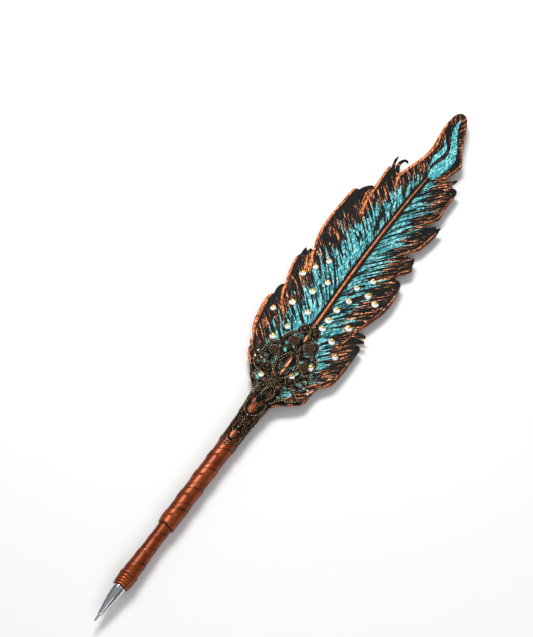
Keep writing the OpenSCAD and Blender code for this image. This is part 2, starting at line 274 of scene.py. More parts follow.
def buildStudio():
    camera = bpy.data.objects.new("camera", bpy.data.cameras.new("camera"))
    bpy.context.scene.collection.objects.link(camera)
    camera.data.lens = studio["lens"]
    camera.data.sensor_width = 36
    camera.data.clip_start = 0.01
    lookAlong(camera, studio["eye"], studio["target"])
    bpy.context.scene.camera = camera
    bpy.context.scene.view_settings.view_transform = "Standard"

    softBox("keyBox", (430, 235, 620), (320, 220), studio["keyWatts"])
    softBox("fillBox", (-260, -420, 520), (420, 300), studio["fillWatts"], "#F4F8FF")
    world = bpy.data.worlds.new("studioWhite")
    world.use_nodes = True
    sky = world.node_tree
    sky.nodes.clear()
    # the room is bright overhead and darker towards its walls, which gives plated metal its streaks
    direction = addNode(sky, "TexCoord", output="Generated")
    height = addNode(sky, "SeparateXYZ", [direction], "Z")
    tone = addNode(sky, "ValToRGB", [height], stops=studio["sky"])
    glow = addNode(sky, "Background", {"Color": tone, "Strength": studio["skyGlow"]})
    addNode(sky, "OutputWorld", {"Surface": glow})
    bpy.context.scene.world = world

    # the floor is a square grid just under the lowest point of the pen
    half = studio["floorSize"] / 2
    low = cadBox[0][2] / mm - 0.05
    side = np.linspace(-half, half, 9)
    x, y = np.meshgrid(side, side, indexing="ij")
    mesh = bpy.data.meshes.new("floor")
    corners = np.stack([x, y, np.full_like(x, low)], -1).reshape(-1, 3) * mm
    mesh.from_pydata(corners.tolist(), [], gridQuads(9, 9, closed=False)[:, ::-1].tolist())
    paper, tree, shader = newMaterial("matte white paper floor")
    setInputs(tree, shader, {"Base Color": hexColour(studio["floor"]), "Roughness": 0.9})
    mesh.materials.append(paper)
    floor = bpy.data.objects.new("floor", mesh)
    bpy.context.scene.collection.objects.link(floor)


buildStudio()
print("feather pen: studio ready")


# shapes that several pieces follow
camber = 145  # radius of the feather's crosswise curve
layer = 1.15  # thickness of one leather layer
featherFoot = 124  # where the feather leaves the neck

# the quill line: where the feather's middle runs, as (x, y)
quillLine = np.array([[120, -0.3], [141, -0.4], [160, -0.1], [172.6, 0.2], [180, 0.4], [200, 1.0],
                      [220, 1.2], [240, 1.0], [260, 0.5], [277.4, -0.4], [290, -0.6], [305, 1.4],
                      [323, 4.6]])
quillSmooth = smoothCurve(quillLine, 12)

# leather neck as (x, half width, height): round on the barrel, flat where it is the feather
neckShape = np.array([[96, 4.02, 4.02], [104, 4.08, 4.08], [110, 4.2, 4.2], [115, 4.42, 4.4],
                      [120, 4.9, 4.75], [124, 5.35, 4.8], [128, 5.9, 4.2], [132, 6.1, 3.2],
                      [136, 5.8, 2.3], [140, 5.0, 1.6], [144, 4.2, 1.0]])
neckSmooth = smoothCurve(neckShape, 8)


def quillY(x):
    return np.interp(x, quillSmooth[:, 0], quillSmooth[:, 1])


def neckSize(x):
    return [np.interp(x, neckSmooth[:, 0], neckSmooth[:, k]) for k in (1, 2)]


def leatherTop(x, y):
    # height of the painted face: a long cylinder's back, raised into the neck's dome near the barrel
    face = np.sqrt((camber + layer) ** 2 - y ** 2) - camber
    wide, high = neckSize(x)
    dome = high * np.sqrt(np.clip(1 - (y / wide) ** 2, 0, None))
    dome = np.where(x > neckShape[-1, 0], 0, dome)
    face = np.where(x < featherFoot, np.minimum(face, dome), face)
    # the larger of the two, with a rounded join
    return 0.5 * (face + dome + np.sqrt((face - dome) ** 2 + 0.35 ** 2)) - 0.02


def onLeather(places, lift=0.0):
    # (x, y) places carried up to the painted face
    places = np.asarray(places, float)
    z = leatherTop(places[:, 0], places[:, 1]) + lift
    return np.column_stack([places[:, 0], places[:, 1], z])


def roundNeck(places, lift=0.0):
    # (x, angle in degrees from the top towards +Y) places carried onto the round neck
    places = np.asarray(places, float)
    wide, high = neckSize(places[:, 0])
    angle = np.radians(places[:, 1])
    return np.column_stack([places[:, 0], (wide + lift) * np.sin(angle), (high + lift) * np.cos(angle)])


def outward(points):
    # direction away from the pen's axis, for wires that wrap the neck
    away = np.column_stack([np.zeros(len(points)), points[:, 1], points[:, 2]])
    return away / np.linalg.norm(away, axis=1)[:, None]


# the feather's outline, lobe by lobe; lobes meet in corners
upperLobes = [
    [[124.5, 5.6], [128, 6.3], [131, 8.4], [134, 11.4], [136.8, 13.2]],
    [[137.6, 13.4], [140, 15.8], [143, 18.6], [146, 20.1], [147.9, 19.9]],
    [[148.2, 20.3], [150, 21.9], [152.2, 21.9]],
    [[152.6, 22.1], [156, 24.6], [161, 26.5], [168, 27.9], [174, 28.5], [177, 27.6], [178, 26.6]],
    [[178.4, 26.8], [181, 27.2], [184, 26.6], [185.4, 25.1]],
    [[185.8, 25.3], [190, 27], [196, 28.5], [201, 29.1], [203.8, 28.5]],
    [[204.4, 27.6], [206, 27.9], [208.4, 27.6], [207.3, 26.6], [209.2, 26], [209.4, 24.4]],
    [[209.8, 24.5], [214, 26.2], [222, 28], [232, 28.5], [244, 28.1], [251.5, 27.5], [253, 24.7]],
    [[253.8, 24.6], [256.5, 23], [258.2, 21], [258.4, 19.5]],
    [[259, 19.5], [266, 19.8], [271.5, 20], [273.8, 19.2], [273.6, 16.6], [271.6, 13.4]],
]
blade = [
    [[272.4, 12.9], [278, 11.2], [284, 9.3], [290, 7.9], [296, 7.6], [303, 8.4], [310, 8.9],
     [316, 8.7], [320, 7.9], [322.2, 6], [322.2, 3.6], [320, 1.1], [315, -1.3], [307, -4.2],
     [300, -7], [295, -9.8]],
    [[292.3, -11.1], [288, -10], [284, -8.9], [279.6, -8]],
]
lowerLobes = [
    [[279.9, -8.4], [280.9, -10.2], [280.2, -12.4], [278.6, -13.6], [278.4, -15.8], [276, -16.9],
     [266, -16.9], [260.4, -17.6]],
    [[258.4, -17.4], [253.5, -14.3], [249.7, -12.2]],
    [[249.5, -12.9], [251, -15.9], [253.6, -18.3]],
    [[252.4, -19.2], [253.4, -20.6], [250, -20.9], [245, -20.2], [240, -19.1]],
    [[237.6, -18.5], [234, -15.6], [230.6, -13.2]],
    [[230.3, -13.9], [230.4, -16.6], [231.3, -19.2], [228, -20.4], [224.2, -21.2], [219, -17.2]],
    [[216.5, -16.6], [216, -19.8], [214.6, -21.4], [210, -22.4], [204, -22.9], [197, -22.3],
     [190, -20.4], [181.4, -17.6]],
    [[180.6, -18.2], [181.1, -20.6], [181, -22.3]],
    [[180.6, -22.2], [178.8, -19.6], [177.6, -19.3], [178, -21.6], [178.1, -23.3]],
    [[177.7, -23.2], [176.2, -20.9], [174.9, -19.8]],
    [[174.4, -20.6], [174.1, -23.3], [171, -23.6], [163, -23.6], [154.5, -23.2], [150, -22],
     [145.5, -18.6], [140, -17.5], [135, -17.1], [130.4, -12.2], [128, -8.6], [125, -6.4]],
]

# where copper edges the leather: each line is (x, y, width), and its inner end follows a barb
copperLines = [
    [[139, 14.2, 0.6], [143, 18.2, 1.2], [146, 19.6, 0.7]],
    [[146, 17.6, 0.4], [149.4, 20.6, 1.2], [153, 22.2, 1.2], [157, 24.4, 2.0], [163, 26, 2.2],
     [170, 27.2, 1.8], [175, 27.8, 1.4], [178, 26.8, 0.8]],
    [[170, 15.5, 0.3], [175, 20.3, 1.2], [181, 23.6, 1.4], [186, 25, 1.4], [192, 27, 1.6],
     [199, 28.4, 1.2], [203, 28.6, 0.4]],
    [[197, 18.4, 0.3], [200, 20.4, 1.6], [205, 22.6, 1.6], [210, 24.4, 1.4], [216, 26.2, 1.4],
     [224, 27.7, 1.6], [234, 28, 1.6], [244, 27.6, 1.6], [251, 27, 1.2], [253, 26, 0.8]],
    [[196, 19.4, 0.2], [200, 22.6, 0.9], [205, 25, 0.7]],
    [[236, 12.6, 0.3], [242, 16.2, 1.0], [247, 17.8, 1.3], [254, 18.4, 1.4], [262, 19, 1.4],
     [270, 19.4, 1.3], [273.4, 18.6, 0.8]],
    [[242, 17, 0.3], [248, 19.6, 0.8], [253, 20.6, 0.6], [256, 20.2, 0.2]],
    [[262, 9.6, 0.3], [267, 11.6, 1.0], [271, 12.6, 1.8], [277, 11, 2.2], [284, 8.6, 2.2],
     [291, 7, 1.9], [297, 6.7, 1.9], [304, 7.8, 1.6], [311, 8.4, 1.2], [317, 8.1, 0.7]],
    [[279.4, -7.6, 1.2], [285, -8.6, 1.4], [292.2, -10.3, 1.6], [298, -7.4, 1.4], [305, -4.4, 1.2],
     [313, -1.5, 1.0], [319, 0.8, 0.6]],
    [[243, -8.6, 0.3], [250, -12, 1.1], [255, -14.9, 1.2], [259.6, -17, 1.6], [266, -16.4, 1.4],
     [274, -16.5, 0.9], [277.6, -15.8, 0.3]],
    [[226, -10.6, 0.3], [231.4, -13.6, 1.1], [235.6, -16.6, 1.2], [239, -18.4, 1.8],
     [245, -19.5, 1.4], [251, -20.4, 0.9]],
    [[212, -13.4, 0.3], [216.6, -15.8, 1.2], [220.6, -18, 1.3], [224.4, -20.6, 1.1],
     [229, -19.8, 0.5]],
    [[166, -13, 0.2], [173, -15.8, 0.9], [180, -17.2, 1.3], [187, -19, 1.3], [194, -21.1, 1.5],
     [202, -22.3, 1.6], [209, -22.1, 1.0], [215, -20.8, 0.7], [216.2, -17.4, 0.5]],
    [[144, -17.4, 0.3], [148, -20.4, 0.9], [152, -22.3, 1.2], [160, -23, 1.3], [168, -23.1, 1.1],
     [173, -22.8, 0.6]],
    [[124.8, -6.3, 0.8], [127, -8, 1.0], [130, -12.2, 1.0], [134, -16.6, 0.9], [139, -17.2, 0.3]],
]

# how far from the quill the turquoise reaches, as (x, above, below)
paintReach = np.array([[124, 2, 3], [134, 6, 10], [142, 12, 15], [150, 16, 17.5], [160, 17.5, 16.5],
                       [172, 17.5, 15.5], [185, 17.5, 14.5], [200, 19, 15.5], [212, 18.5, 15],
                       [224, 18.5, 13.5], [234, 17.5, 13], [244, 15, 12.5], [254, 13.2, 11.6],
                       [264, 9.4, 11.6], [272, 7.6, 9.4], [280, 4.6, 6.4], [286, 0, 0],
                       [323, 0, 0]])

# the blade's two painted swooshes, as (x, top, bottom)
swooshes = [
    np.array([[276.4, -1.2, -1.4], [278, 0.1, -2.9], [281, 0.9, -4.2], [285, 0.6, -5.7],
              [289, -0.6, -6.6], [293, -1.7, -6.5], [297, -1.4, -5.3], [301, 0, -3.7],
              [305, 2, -1.2], [309, 3.6, 0.7], [313, 4.3, 2.4], [318, 3.9, 3.7]]),
    np.array([[283, 2.4, 2.3], [287, 3.3, 2], [291, 3.9, 1], [295, 2.8, 0.3], [298, 2.6, 0.7],
              [301, 3.8, 2.6], [303, 4.9, 4.7]]),
]


def featherOutline(step):
    lobes = upperLobes + blade + lowerLobes
    return np.vstack([evenly(smoothCurve(lobe, 10), step) for lobe in lobes])


def spread(r):
    # how far along the quill a barb has gone when it is r away from it: 18 degrees at first, then 45
    return r + 6 * (1 - np.exp(-r / 3))


def insideOf(points, outline):
    # even-odd rule, all points against all edges
    a, b = outline, np.roll(outline, -1, 0)
    inside = np.zeros(len(points), bool)
    for chunk in np.array_split(np.arange(len(points)), 16):
        p = points[chunk][:, None]
        crosses = (a[None, :, 1] > p[..., 1]) != (b[None, :, 1] > p[..., 1])
        slope = (b[:, 0] - a[:, 0]) / (b[:, 1] - a[:, 1] + 1e-12)
        at = a[None, :, 0] + (p[..., 1] - a[None, :, 1]) * slope[None]
        inside[chunk] = (crosses & (p[..., 0] < at)).sum(1) % 2 == 1
    return inside


def distanceTo(points, line, closed=False, widths=None):
    # shortest distance to a line, less half its width there
    a = line if closed else line[:-1]
    b = np.roll(line, -1, 0) if closed else line[1:]
    half = np.zeros((len(a), 2)) if widths is None else np.stack([widths[:-1], widths[1:]], 1) / 2
    run = b - a
    length2 = (run ** 2).sum(1) + 1e-12
    best = np.full(len(points), 1e9)
    for chunk in np.array_split(np.arange(len(points)), 16):
        p = points[chunk][:, None]
        t = np.clip(((p - a[None]) * run[None]).sum(-1) / length2[None], 0, 1)
        gap = np.linalg.norm(p - a[None] - t[..., None] * run[None], axis=-1)
        gap = gap - (half[None, :, 0] * (1 - t) + half[None, :, 1] * t)
        best[chunk] = gap.min(1)
    return best


def inset(outline, amount):
    ahead = np.roll(outline, -1, 0) - np.roll(outline, 1, 0)
    ahead /= np.linalg.norm(ahead, axis=1)[:, None] + 1e-9
    # the outline runs clockwise seen from above, so the leather is on its right
    return outline + amount * np.column_stack([ahead[:, 1], -ahead[:, 0]])


def triangulate(loop, inner):
    # a flat mesh of the loop with the inner points in it, less the triangles that bridge its notches
    coords = [Vector(p) for p in np.vstack([loop, inner]).tolist()]
    count = len(loop)
    edges = np.column_stack([np.arange(count), np.roll(np.arange(count), -1)]).tolist()
    out = delaunay_2d_cdt(coords, edges, [], 0, 1e-7, False)
    places = np.array([[v.x, v.y] for v in out[0]])
    faces = np.array(out[2])
    return places, faces[insideOf(places[faces].mean(1), loop)]


def leatherSheet(topZ, bottomZ, topPoints, bottomPoints, rimInset=0.0):
    # a flat cut-out with a rounded upper edge: top(x, y), side rings, bottom(x, y), all closed
    rim = inset(featherOutline(0.4), rimInset)
    lip = inset(rim, 0.28)
    top, topFaces = triangulate(lip, topPoints)
    bottom, bottomFaces = triangulate(rim, bottomPoints)
    sides = [(inset(rim, 0.1), 0.05), (inset(rim, 0.02), 0.2), (rim, 0.45)]
    blocks = [np.column_stack([top, topZ(top[:, 0], top[:, 1])])]
    loops = [((top[None] - lip[:, None]) ** 2).sum(-1).argmin(1)]
    count = len(top)
    for edge, drop in sides:
        blocks.append(np.column_stack([edge, topZ(edge[:, 0], edge[:, 1]) - drop]))
        loops.append(np.arange(len(edge)) + count)
        count += len(edge)
    blocks.append(np.column_stack([bottom, bottomZ(bottom[:, 0], bottom[:, 1])]))
    loops.append(((bottom[None] - rim[:, None]) ** 2).sum(-1).argmin(1) + count)
    faces = topFaces.tolist() + (bottomFaces[:, ::-1] + count).tolist()
    for upper, lower in zip(loops[:-1], loops[1:]):
        faces += np.stack([upper, np.roll(upper, -1), np.roll(lower, -1), lower], 1).tolist()
    return np.vstack(blocks), faces


def barbGrid(alongStep, acrossStep):
    # points laid out in rows that follow the barbs: x = s + spread(|r|), y = quill(x) + r
    s, r = np.meshgrid(np.arange(96, 326, alongStep), np.arange(-29.75, 30, acrossStep), indexing="ij")
    x = (s + spread(np.abs(r))).ravel()
    points = np.column_stack([x, quillY(x) + r.ravel()])
    points = points[(points[:, 0] > featherFoot) & (points[:, 0] < quillLine[-1, 0])]
    rim = featherOutline(0.8)
    points = points[insideOf(points, rim)]
    return points[distanceTo(points, rim, closed=True) > 0.55]


def barbPlace(verts):
    r = verts[:, 1] - quillY(verts[:, 0])
    return np.column_stack([verts[:, 0] - spread(np.abs(r)), r, np.zeros(len(r))])


def paintMap(verts):
    # the measures that the painted finish follows, one value for each vertex, in millimetres
    place = barbPlace(verts)
    x, y, r = verts[:, 0], verts[:, 1], place[:, 1]
    reach = np.where(r > 0, np.interp(x, paintReach[:, 0], paintReach[:, 1]),
                     np.interp(x, paintReach[:, 0], paintReach[:, 2]))
    copper = np.full(len(x), 9.0)
    for line in copperLines:
        smooth = evenly(smoothCurve(line, 8), 0.8)
        # the -Y side is edged more thinly
        brush = smooth[:, 2] * np.where(smooth[:, 1] > 0, 0.85, 0.4)
        copper = np.minimum(copper, distanceTo(verts[:, :2], smooth[:, :2], widths=brush))
    swoosh = np.full(len(x), -9.0)
    for shape in swooshes:
        bound = smoothCurve(shape, 6)
        top = np.interp(x, bound[:, 0], bound[:, 1], left=-50)
        bottom = np.interp(x, bound[:, 0], bound[:, 2], right=50)
        swoosh = np.maximum(swoosh, np.minimum(top - y, y - bottom))
    # the paint is put on solid where the filigree will sit
    limit = np.interp(x, [124, 130, 140], [4.5, 8, 14])
    depth = reach - np.abs(r) + np.interp(x, [156, 172], [11, 0]) * np.clip((limit - np.abs(r)) / 3, 0, 1)
    return {"barbPlace": place, "paintDepth": np.clip(depth, -9, 20),
            "copperGap": np.clip(copper, -3, 9), "swooshDepth": np.clip(swoosh, -9, 9)}


def grainBump(tree, place, scale, strength, depth):
    # pebbled leather grain: rounded cells, `scale` of them to the metre, with finer wrinkles in them
    cells = addNode(tree, "TexVoronoi", {"Vector": place, "Scale": scale}, feature="SMOOTH_F1")
    wrinkle = addNode(tree, "TexNoise", {"Vector": place, "Scale": scale * 2.3, "Detail": 3.0})
    height = addNode(tree, "Math", [cells, wrinkle], operation="MULTIPLY")
    bump = addNode(tree, "Bump", {"Height": height, "Strength": strength, "Distance": depth * mm})
    return bump, wrinkle


def copperLeather():
    # veg-tanned leather strip under brushed metallic copper paint, varnished: the metal flake gives a
    # warm broad highlight, the grain breaks it up, and the seamShade attribute mixes in a dark brown: dark
    # joint lines with painted shade along them, painted shade in the collar's grooves and at the grip's end,
    # and an even darkening of the neck
    look = {"light": "#A04C1E", "mid": "#783211", "dark": "#260B04", "edge": "#4C1E0C", "grainMm": 0.55}
    material, tree, shader = newMaterial("copper painted leather")
    place = addNode(tree, "TexCoord", output="Object")
    bump, wrinkle = grainBump(tree, place, 1 / (look["grainMm"] * mm), 0.35, 0.12)
    seam = addNode(tree, "Attribute", output="Fac", attribute_name="seamShade")
    cloud = addNode(tree, "TexNoise", {"Vector": place, "Scale": 160.0, "Detail": 4.0})
    tone = addNode(tree, "ValToRGB", [cloud], stops=[(0.35, look["mid"]), (0.7, look["light"])])
    # painted shade in seams, grooves and at the grip's end, and an even darkening of the neck, all mixed
    # toward the dark brown
    colour = addNode(tree, "Mix", {"Factor": seam, 6: tone, 7: hexColour(look["dark"])}, 2,
                     data_type="RGBA")
    rough = addNode(tree, "MapRange", [wrinkle, 0.0, 1.0, 0.34, 0.52])
    setInputs(tree, shader, {"Base Color": colour, "Roughness": rough, "Normal": bump, "Metallic": 0.72,
                             "Specular IOR Level": 0.3, "Specular Tint": hexColour(look["edge"]),
                             "Coat Weight": 0.4, "Coat Roughness": 0.3})
    return material


def strokeNoise(tree, place, size, shift, detail=2.0):
    # noise drawn out along the barbs: size is one stroke's width and length in millimetres
    moved = addNode(tree, "Mapping", {"Vector": place, "Location": (shift, shift * 0.37, shift),
                                      "Scale": (1 / size[0], 1 / size[1], 1.0)})
    return addNode(tree, "TexNoise", {"Vector": moved, "Scale": 1.0, "Detail": detail,
                                      "Roughness": 0.55, "Distortion": 0.3})


def paintedFeather():
    # tooled leather with hand-painted acrylics under a satin varnish: turquoise strokes on black,
    # copper strokes towards the edge, a copper edge, all broken up by rippled grain, whose crests carry a
    # painted highlight and hollows a painted shade
    # each ramp runs from the paint's painted shade in the grain's hollows to its painted highlight on the
    # crests
    look = {"turquoise": [(0.39, "#0C4E58"), (0.47, "#2F9AA4"), (0.54, "#5AC4C8"), (0.62, "#C0F0EA")],
            "black": [(0.45, "#030303"), (0.75, "#1B1917")],
            "copper": [(0.38, "#6A2810"), (0.47, "#C4622F"), (0.58, "#FFC08C")],
            "rim": [(0.36, "#401507"), (0.47, "#A34A20"), (0.6, "#F4A268")]}
    # each pattern's width across the barbs and length along them, in millimetres
    size = {"ripple": (1.5, 0.6), "wrinkle": (0.45, 0.4), "wide": (2.3, 15), "thin": (0.8, 7),
            "line": (2.0, 15), "swell": (1.6, 6), "fleck": (1.3, 10)}
    material, tree, shader = newMaterial("painted feather leather")
    place = addNode(tree, "Attribute", output="Vector", attribute_name="barbPlace")
    depth, copperGap, swoosh = (addNode(tree, "Attribute", output="Fac", attribute_name=label)
                                for label in ("paintDepth", "copperGap", "swooshDepth"))
    across = addNode(tree, "SeparateXYZ", [place], "Y")
    fromQuill = addNode(tree, "Math", [across], operation="ABSOLUTE")

    # grain: short ripples that lie across the barbs, with a finer wrinkle over them
    ripple = strokeNoise(tree, place, size["ripple"], 5.5, 1.0)
    wrinkle = strokeNoise(tree, place, size["wrinkle"], 71.3)
    grain = addNode(tree, "Mix", {"Factor": 0.3, "A": ripple, "B": wrinkle})
    bump = addNode(tree, "Bump", {"Height": grain, "Strength": 0.85, "Distance": 0.5 * mm})

    # turquoise: solid in the middle of the vane, frayed at its far side
    wide = strokeNoise(tree, place, size["wide"], 3.1)
    thin = strokeNoise(tree, place, size["thin"], 17.7)
    stroke = addNode(tree, "Mix", {"Factor": 0.22, "A": wide, "B": thin})
    fray = addNode(tree, "MapRange", [depth, -4.0, 7.0, 0.66, 0.43])
    solid = addNode(tree, "MapRange", [depth, 9.0, 18.0, 0.0, 0.2])
    fray = addNode(tree, "Math", [fray, solid], operation="SUBTRACT")
    pastFray = addNode(tree, "Math", [stroke, fray], operation="SUBTRACT")
    painted = addNode(tree, "MapRange", [pastFray, -0.01, 0.012], interpolation_type="SMOOTHSTEP")

    # black barb lines, drawn where a slow noise passes its middle value, so that they fork and taper
    line = strokeNoise(tree, place, size["line"], 91.7, 1.0)
    swell = strokeNoise(tree, place, size["swell"], 33.3, 1.0)
    fromLine = addNode(tree, "Math", [line, 0.5], operation="SUBTRACT")
    fromLine = addNode(tree, "Math", [fromLine], operation="ABSOLUTE")
    lineHalf = addNode(tree, "Math", [swell, 0.35], operation="SUBTRACT")
    lineHalf = addNode(tree, "Math", [lineHalf, 0.37], operation="MULTIPLY")
    pastLine = addNode(tree, "Math", [fromLine, lineHalf], operation="SUBTRACT")
    betweenLines = addNode(tree, "MapRange", [pastLine, 0.0, 0.012], interpolation_type="SMOOTHSTEP")
    pastQuill = addNode(tree, "Math", [thin, 3.0, fromQuill], operation="MULTIPLY_ADD")
    besideQuill = addNode(tree, "MapRange", [pastQuill, 3.3, 3.8], interpolation_type="SMOOTHSTEP")
    for mask in (betweenLines, besideQuill):
        painted = addNode(tree, "Math", [painted, mask], operation="MULTIPLY")
    swooshEdge = addNode(tree, "Math", [grain, 0.5, swoosh], operation="MULTIPLY_ADD")
    inSwoosh = addNode(tree, "MapRange", [swooshEdge, 0.15, 0.4], interpolation_type="SMOOTHSTEP")
    painted = addNode(tree, "Math", [painted, inSwoosh], operation="MAXIMUM")

    # copper strokes: thin broken flecks, only between the turquoise and the dark edge
    fleck = strokeNoise(tree, place, size["fleck"], 41.3, 1.0)
    fromFleck = addNode(tree, "Math", [fleck, 0.5], operation="SUBTRACT")
    fromFleck = addNode(tree, "Math", [fromFleck], operation="ABSOLUTE")
    fromBand = addNode(tree, "Math", [depth, 1.2], operation="ADD")
    fromBand = addNode(tree, "Math", [fromBand], operation="ABSOLUTE")
    fleckHalf = addNode(tree, "MapRange", [fromBand, 2.0, 6.5, 0.034, 0.0])
    inFleck = addNode(tree, "Math", [fleckHalf, fromFleck], operation="SUBTRACT")
    flecks = addNode(tree, "MapRange", [inFleck, -0.004, 0.012], interpolation_type="SMOOTHSTEP")
    for measure, low, high in ((swell, 0.46, 0.51), (depth, -8.9, -8.0), (swoosh, -0.3, -1.4)):
        mask = addNode(tree, "MapRange", [measure, low, high], interpolation_type="SMOOTHSTEP")
        flecks = addNode(tree, "Math", [flecks, mask], operation="MULTIPLY")
    brush = addNode(tree, "Math", [thin, 0.8], operation="MULTIPLY")
    brush = addNode(tree, "Math", [brush, copperGap], operation="SUBTRACT")
    edge = addNode(tree, "MapRange", [brush, 0.3, 0.5], interpolation_type="SMOOTHSTEP")

    # each coat lies over the one before it; each coat's ramp follows the grain's height, so besides its own
    # mottle it carries painted highlight on the ripple crests and painted shade in their hollows
    colour = addNode(tree, "ValToRGB", [grain], stops=look["black"])
    for mask, coat in ((painted, "turquoise"), (flecks, "copper"), (edge, "rim")):
        paint = addNode(tree, "ValToRGB", [grain], stops=look[coat])
        colour = addNode(tree, "Mix", {"Factor": mask, 6: colour, 7: paint}, 2, data_type="RGBA")
    metal = addNode(tree, "Math", [flecks, edge], operation="MAXIMUM")
    metal = addNode(tree, "Math", [metal, 0.5], operation="MULTIPLY")
    rough = addNode(tree, "MapRange", [grain, 0.0, 1.0, 0.38, 0.62])
    setInputs(tree, shader, {"Base Color": colour, "Metallic": metal, "Roughness": rough,
                             "Specular IOR Level": 0.13, "Normal": bump})
    return material


def backLeather():
    # the feather's back: the same leather, sponged black and copper, so the barbs show as dark strokes
    look = {"black": "#140C08", "copper": [(0.3, "#6E2F16"), (0.5, "#A9572C"), (0.75, "#D98E58")],
            "stroke": (1.1, 12)}
    material, tree, shader = newMaterial("copper and black backing leather")
    place = addNode(tree, "Attribute", output="Vector", attribute_name="barbPlace")
    copperGap = addNode(tree, "Attribute", output="Fac", attribute_name="copperGap")
    bump, wrinkle = grainBump(tree, addNode(tree, "TexCoord", output="Object"), 1300.0, 0.5, 0.16)
    stroke = strokeNoise(tree, place, look["stroke"], 9.2, 3.0)
    sponged = addNode(tree, "MapRange", [stroke, 0.46, 0.56], interpolation_type="SMOOTHSTEP")
    edge = addNode(tree, "MapRange", [copperGap, 0.4, 0.0], interpolation_type="SMOOTHSTEP")
    mask = addNode(tree, "Math", [sponged, edge], operation="MAXIMUM")
    copper = addNode(tree, "ValToRGB", [wrinkle], stops=look["copper"])
    colour = addNode(tree, "Mix", {"Factor": mask, 6: hexColour(look["black"]), 7: copper}, 2,
                     data_type="RGBA")
    setInputs(tree, shader, {"Base Color": colour, "Metallic": 0.45, "Roughness": 0.42, "Normal": bump})
    return material


def ridgePaint():
    # raised leather quill under two coats of copper paint, mottled in tone
    look = [(0.3, "#8A3E1C"), (0.5, "#C06A3A"), (0.7, "#EBA573")]
    material, tree, shader = newMaterial("copper painted quill ridge")
    place = addNode(tree, "TexCoord", output="Object")
    noise = addNode(tree, "TexNoise", {"Vector": place, "Scale": 900.0, "Detail": 3.0})
    tone = addNode(tree, "ValToRGB", [noise], stops=look)
    bump = addNode(tree, "Bump", {"Height": noise, "Strength": 0.3, "Distance": 0.08 * mm})
    setInputs(tree, shader, {"Base Color": tone, "Normal": bump, "Metallic": 0.45, "Roughness": 0.46,
                             "Specular IOR Level": 0.3})
    return material


def agedMetal(name, tones, roughness, scale):
    # cast bronze, antiqued: near black and dull in the hollows, brown on the lines, lighter where worn, and
    # with a painted highlight on the crowns that face castOut; castWear says how worn a place is and castOut
    # which way its crown faces
    material, tree, shader = newMaterial(name)
    place = addNode(tree, "TexCoord", output="Object")
    normal = addNode(tree, "TexCoord", output="Normal")
    wear = addNode(tree, "Attribute", output="Fac", attribute_name="castWear")
    out = addNode(tree, "Attribute", output="Vector", attribute_name="castOut")
    noise = addNode(tree, "TexNoise", {"Vector": place, "Scale": scale, "Detail": 4.0})
    # wear, with a painted highlight on crowns that face out: (max(normal . out, 0)^3 + 0.25) wear
    highlightFacing = addNode(tree, "VectorMath", [normal, out], "Value", operation="DOT_PRODUCT")
    rubbedAndLit = highlightFacing
    for operation, amount in (("MAXIMUM", 0.0), ("POWER", 3.0), ("ADD", 0.25), ("MULTIPLY", wear)):
        rubbedAndLit = addNode(tree, "Math", [rubbedAndLit, amount], operation=operation)
    patinaAndHighlight = addNode(tree, "Math", [rubbedAndLit, noise], operation="MULTIPLY")
    # the ramp gives dark hollows, brown lines, and painted highlights on the outward crowns
    tone = addNode(tree, "ValToRGB", [patinaAndHighlight], stops=list(zip((0.08, 0.34, 0.66), tones)))
    bump = addNode(tree, "Bump", {"Height": noise, "Strength": 0.3, "Distance": 0.05 * mm})
    rough = addNode(tree, "MapRange", [wear, 0.12, 0.7, 0.9, roughness])
    metal = addNode(tree, "Math", [wear, 0.75], operation="MULTIPLY")
    setInputs(tree, shader, {"Base Color": tone, "Roughness": rough, "Metallic": metal, "Normal": bump,
                             "Specular IOR Level": 0.2})
    return material


def turnedMetal(name, colour, roughness, lines):
    # lathe-turned metal: fine rings round X, `lines` of them to the millimetre
    material, tree, shader = newMaterial(name)
    place = addNode(tree, "TexCoord", output="Object")
    drawn = addNode(tree, "Mapping", {"Vector": place, "Scale": (lines / mm, 20.0, 20.0)})
    rings = addNode(tree, "TexNoise", {"Vector": drawn, "Scale": 1.0, "Detail": 2.0})
    bump = addNode(tree, "Bump", {"Height": rings, "Strength": 0.06, "Distance": 0.02 * mm})
    rough = addNode(tree, "MapRange", [rings, 0.0, 1.0, roughness * 0.7, roughness * 1.3])
    setInputs(tree, shader, {"Base Color": hexColour(colour), "Metallic": 1.0, "Roughness": rough,
                             "Normal": bump})
    return material


def glossPaint(name, dark, light, metallic, roughness):
    # thick enamel dot: smooth and glossy, slightly uneven in tone
    material, tree, shader = newMaterial(name)
    place = addNode(tree, "TexCoord", output="Object")
    noise = addNode(tree, "TexNoise", {"Vector": place, "Scale": 700.0, "Detail": 2.0})
    tone = addNode(tree, "ValToRGB", [noise], stops=[(0.35, dark), (0.6, light)])
    setInputs(tree, shader, {"Base Color": tone, "Metallic": metallic, "Roughness": roughness,
                             "Coat Weight": 0.4, "Coat Roughness": 0.08})
    return material


def mouldedPlastic(name, colour, roughness, clear=0.0):
    # moulded plastic with a faint flow mottle; `clear` lets light through the refill tube
    material, tree, shader = newMaterial(name)
    place = addNode(tree, "TexCoord", output="Object")
    noise = addNode(tree, "TexNoise", {"Vector": place, "Scale": 500.0, "Detail": 2.0})
    rough = addNode(tree, "MapRange", [noise, 0.0, 1.0, roughness * 0.8, roughness * 1.2])
    setInputs(tree, shader, {"Base Color": hexColour(colour), "Roughness": rough,
                             "Transmission Weight": clear})
    return material


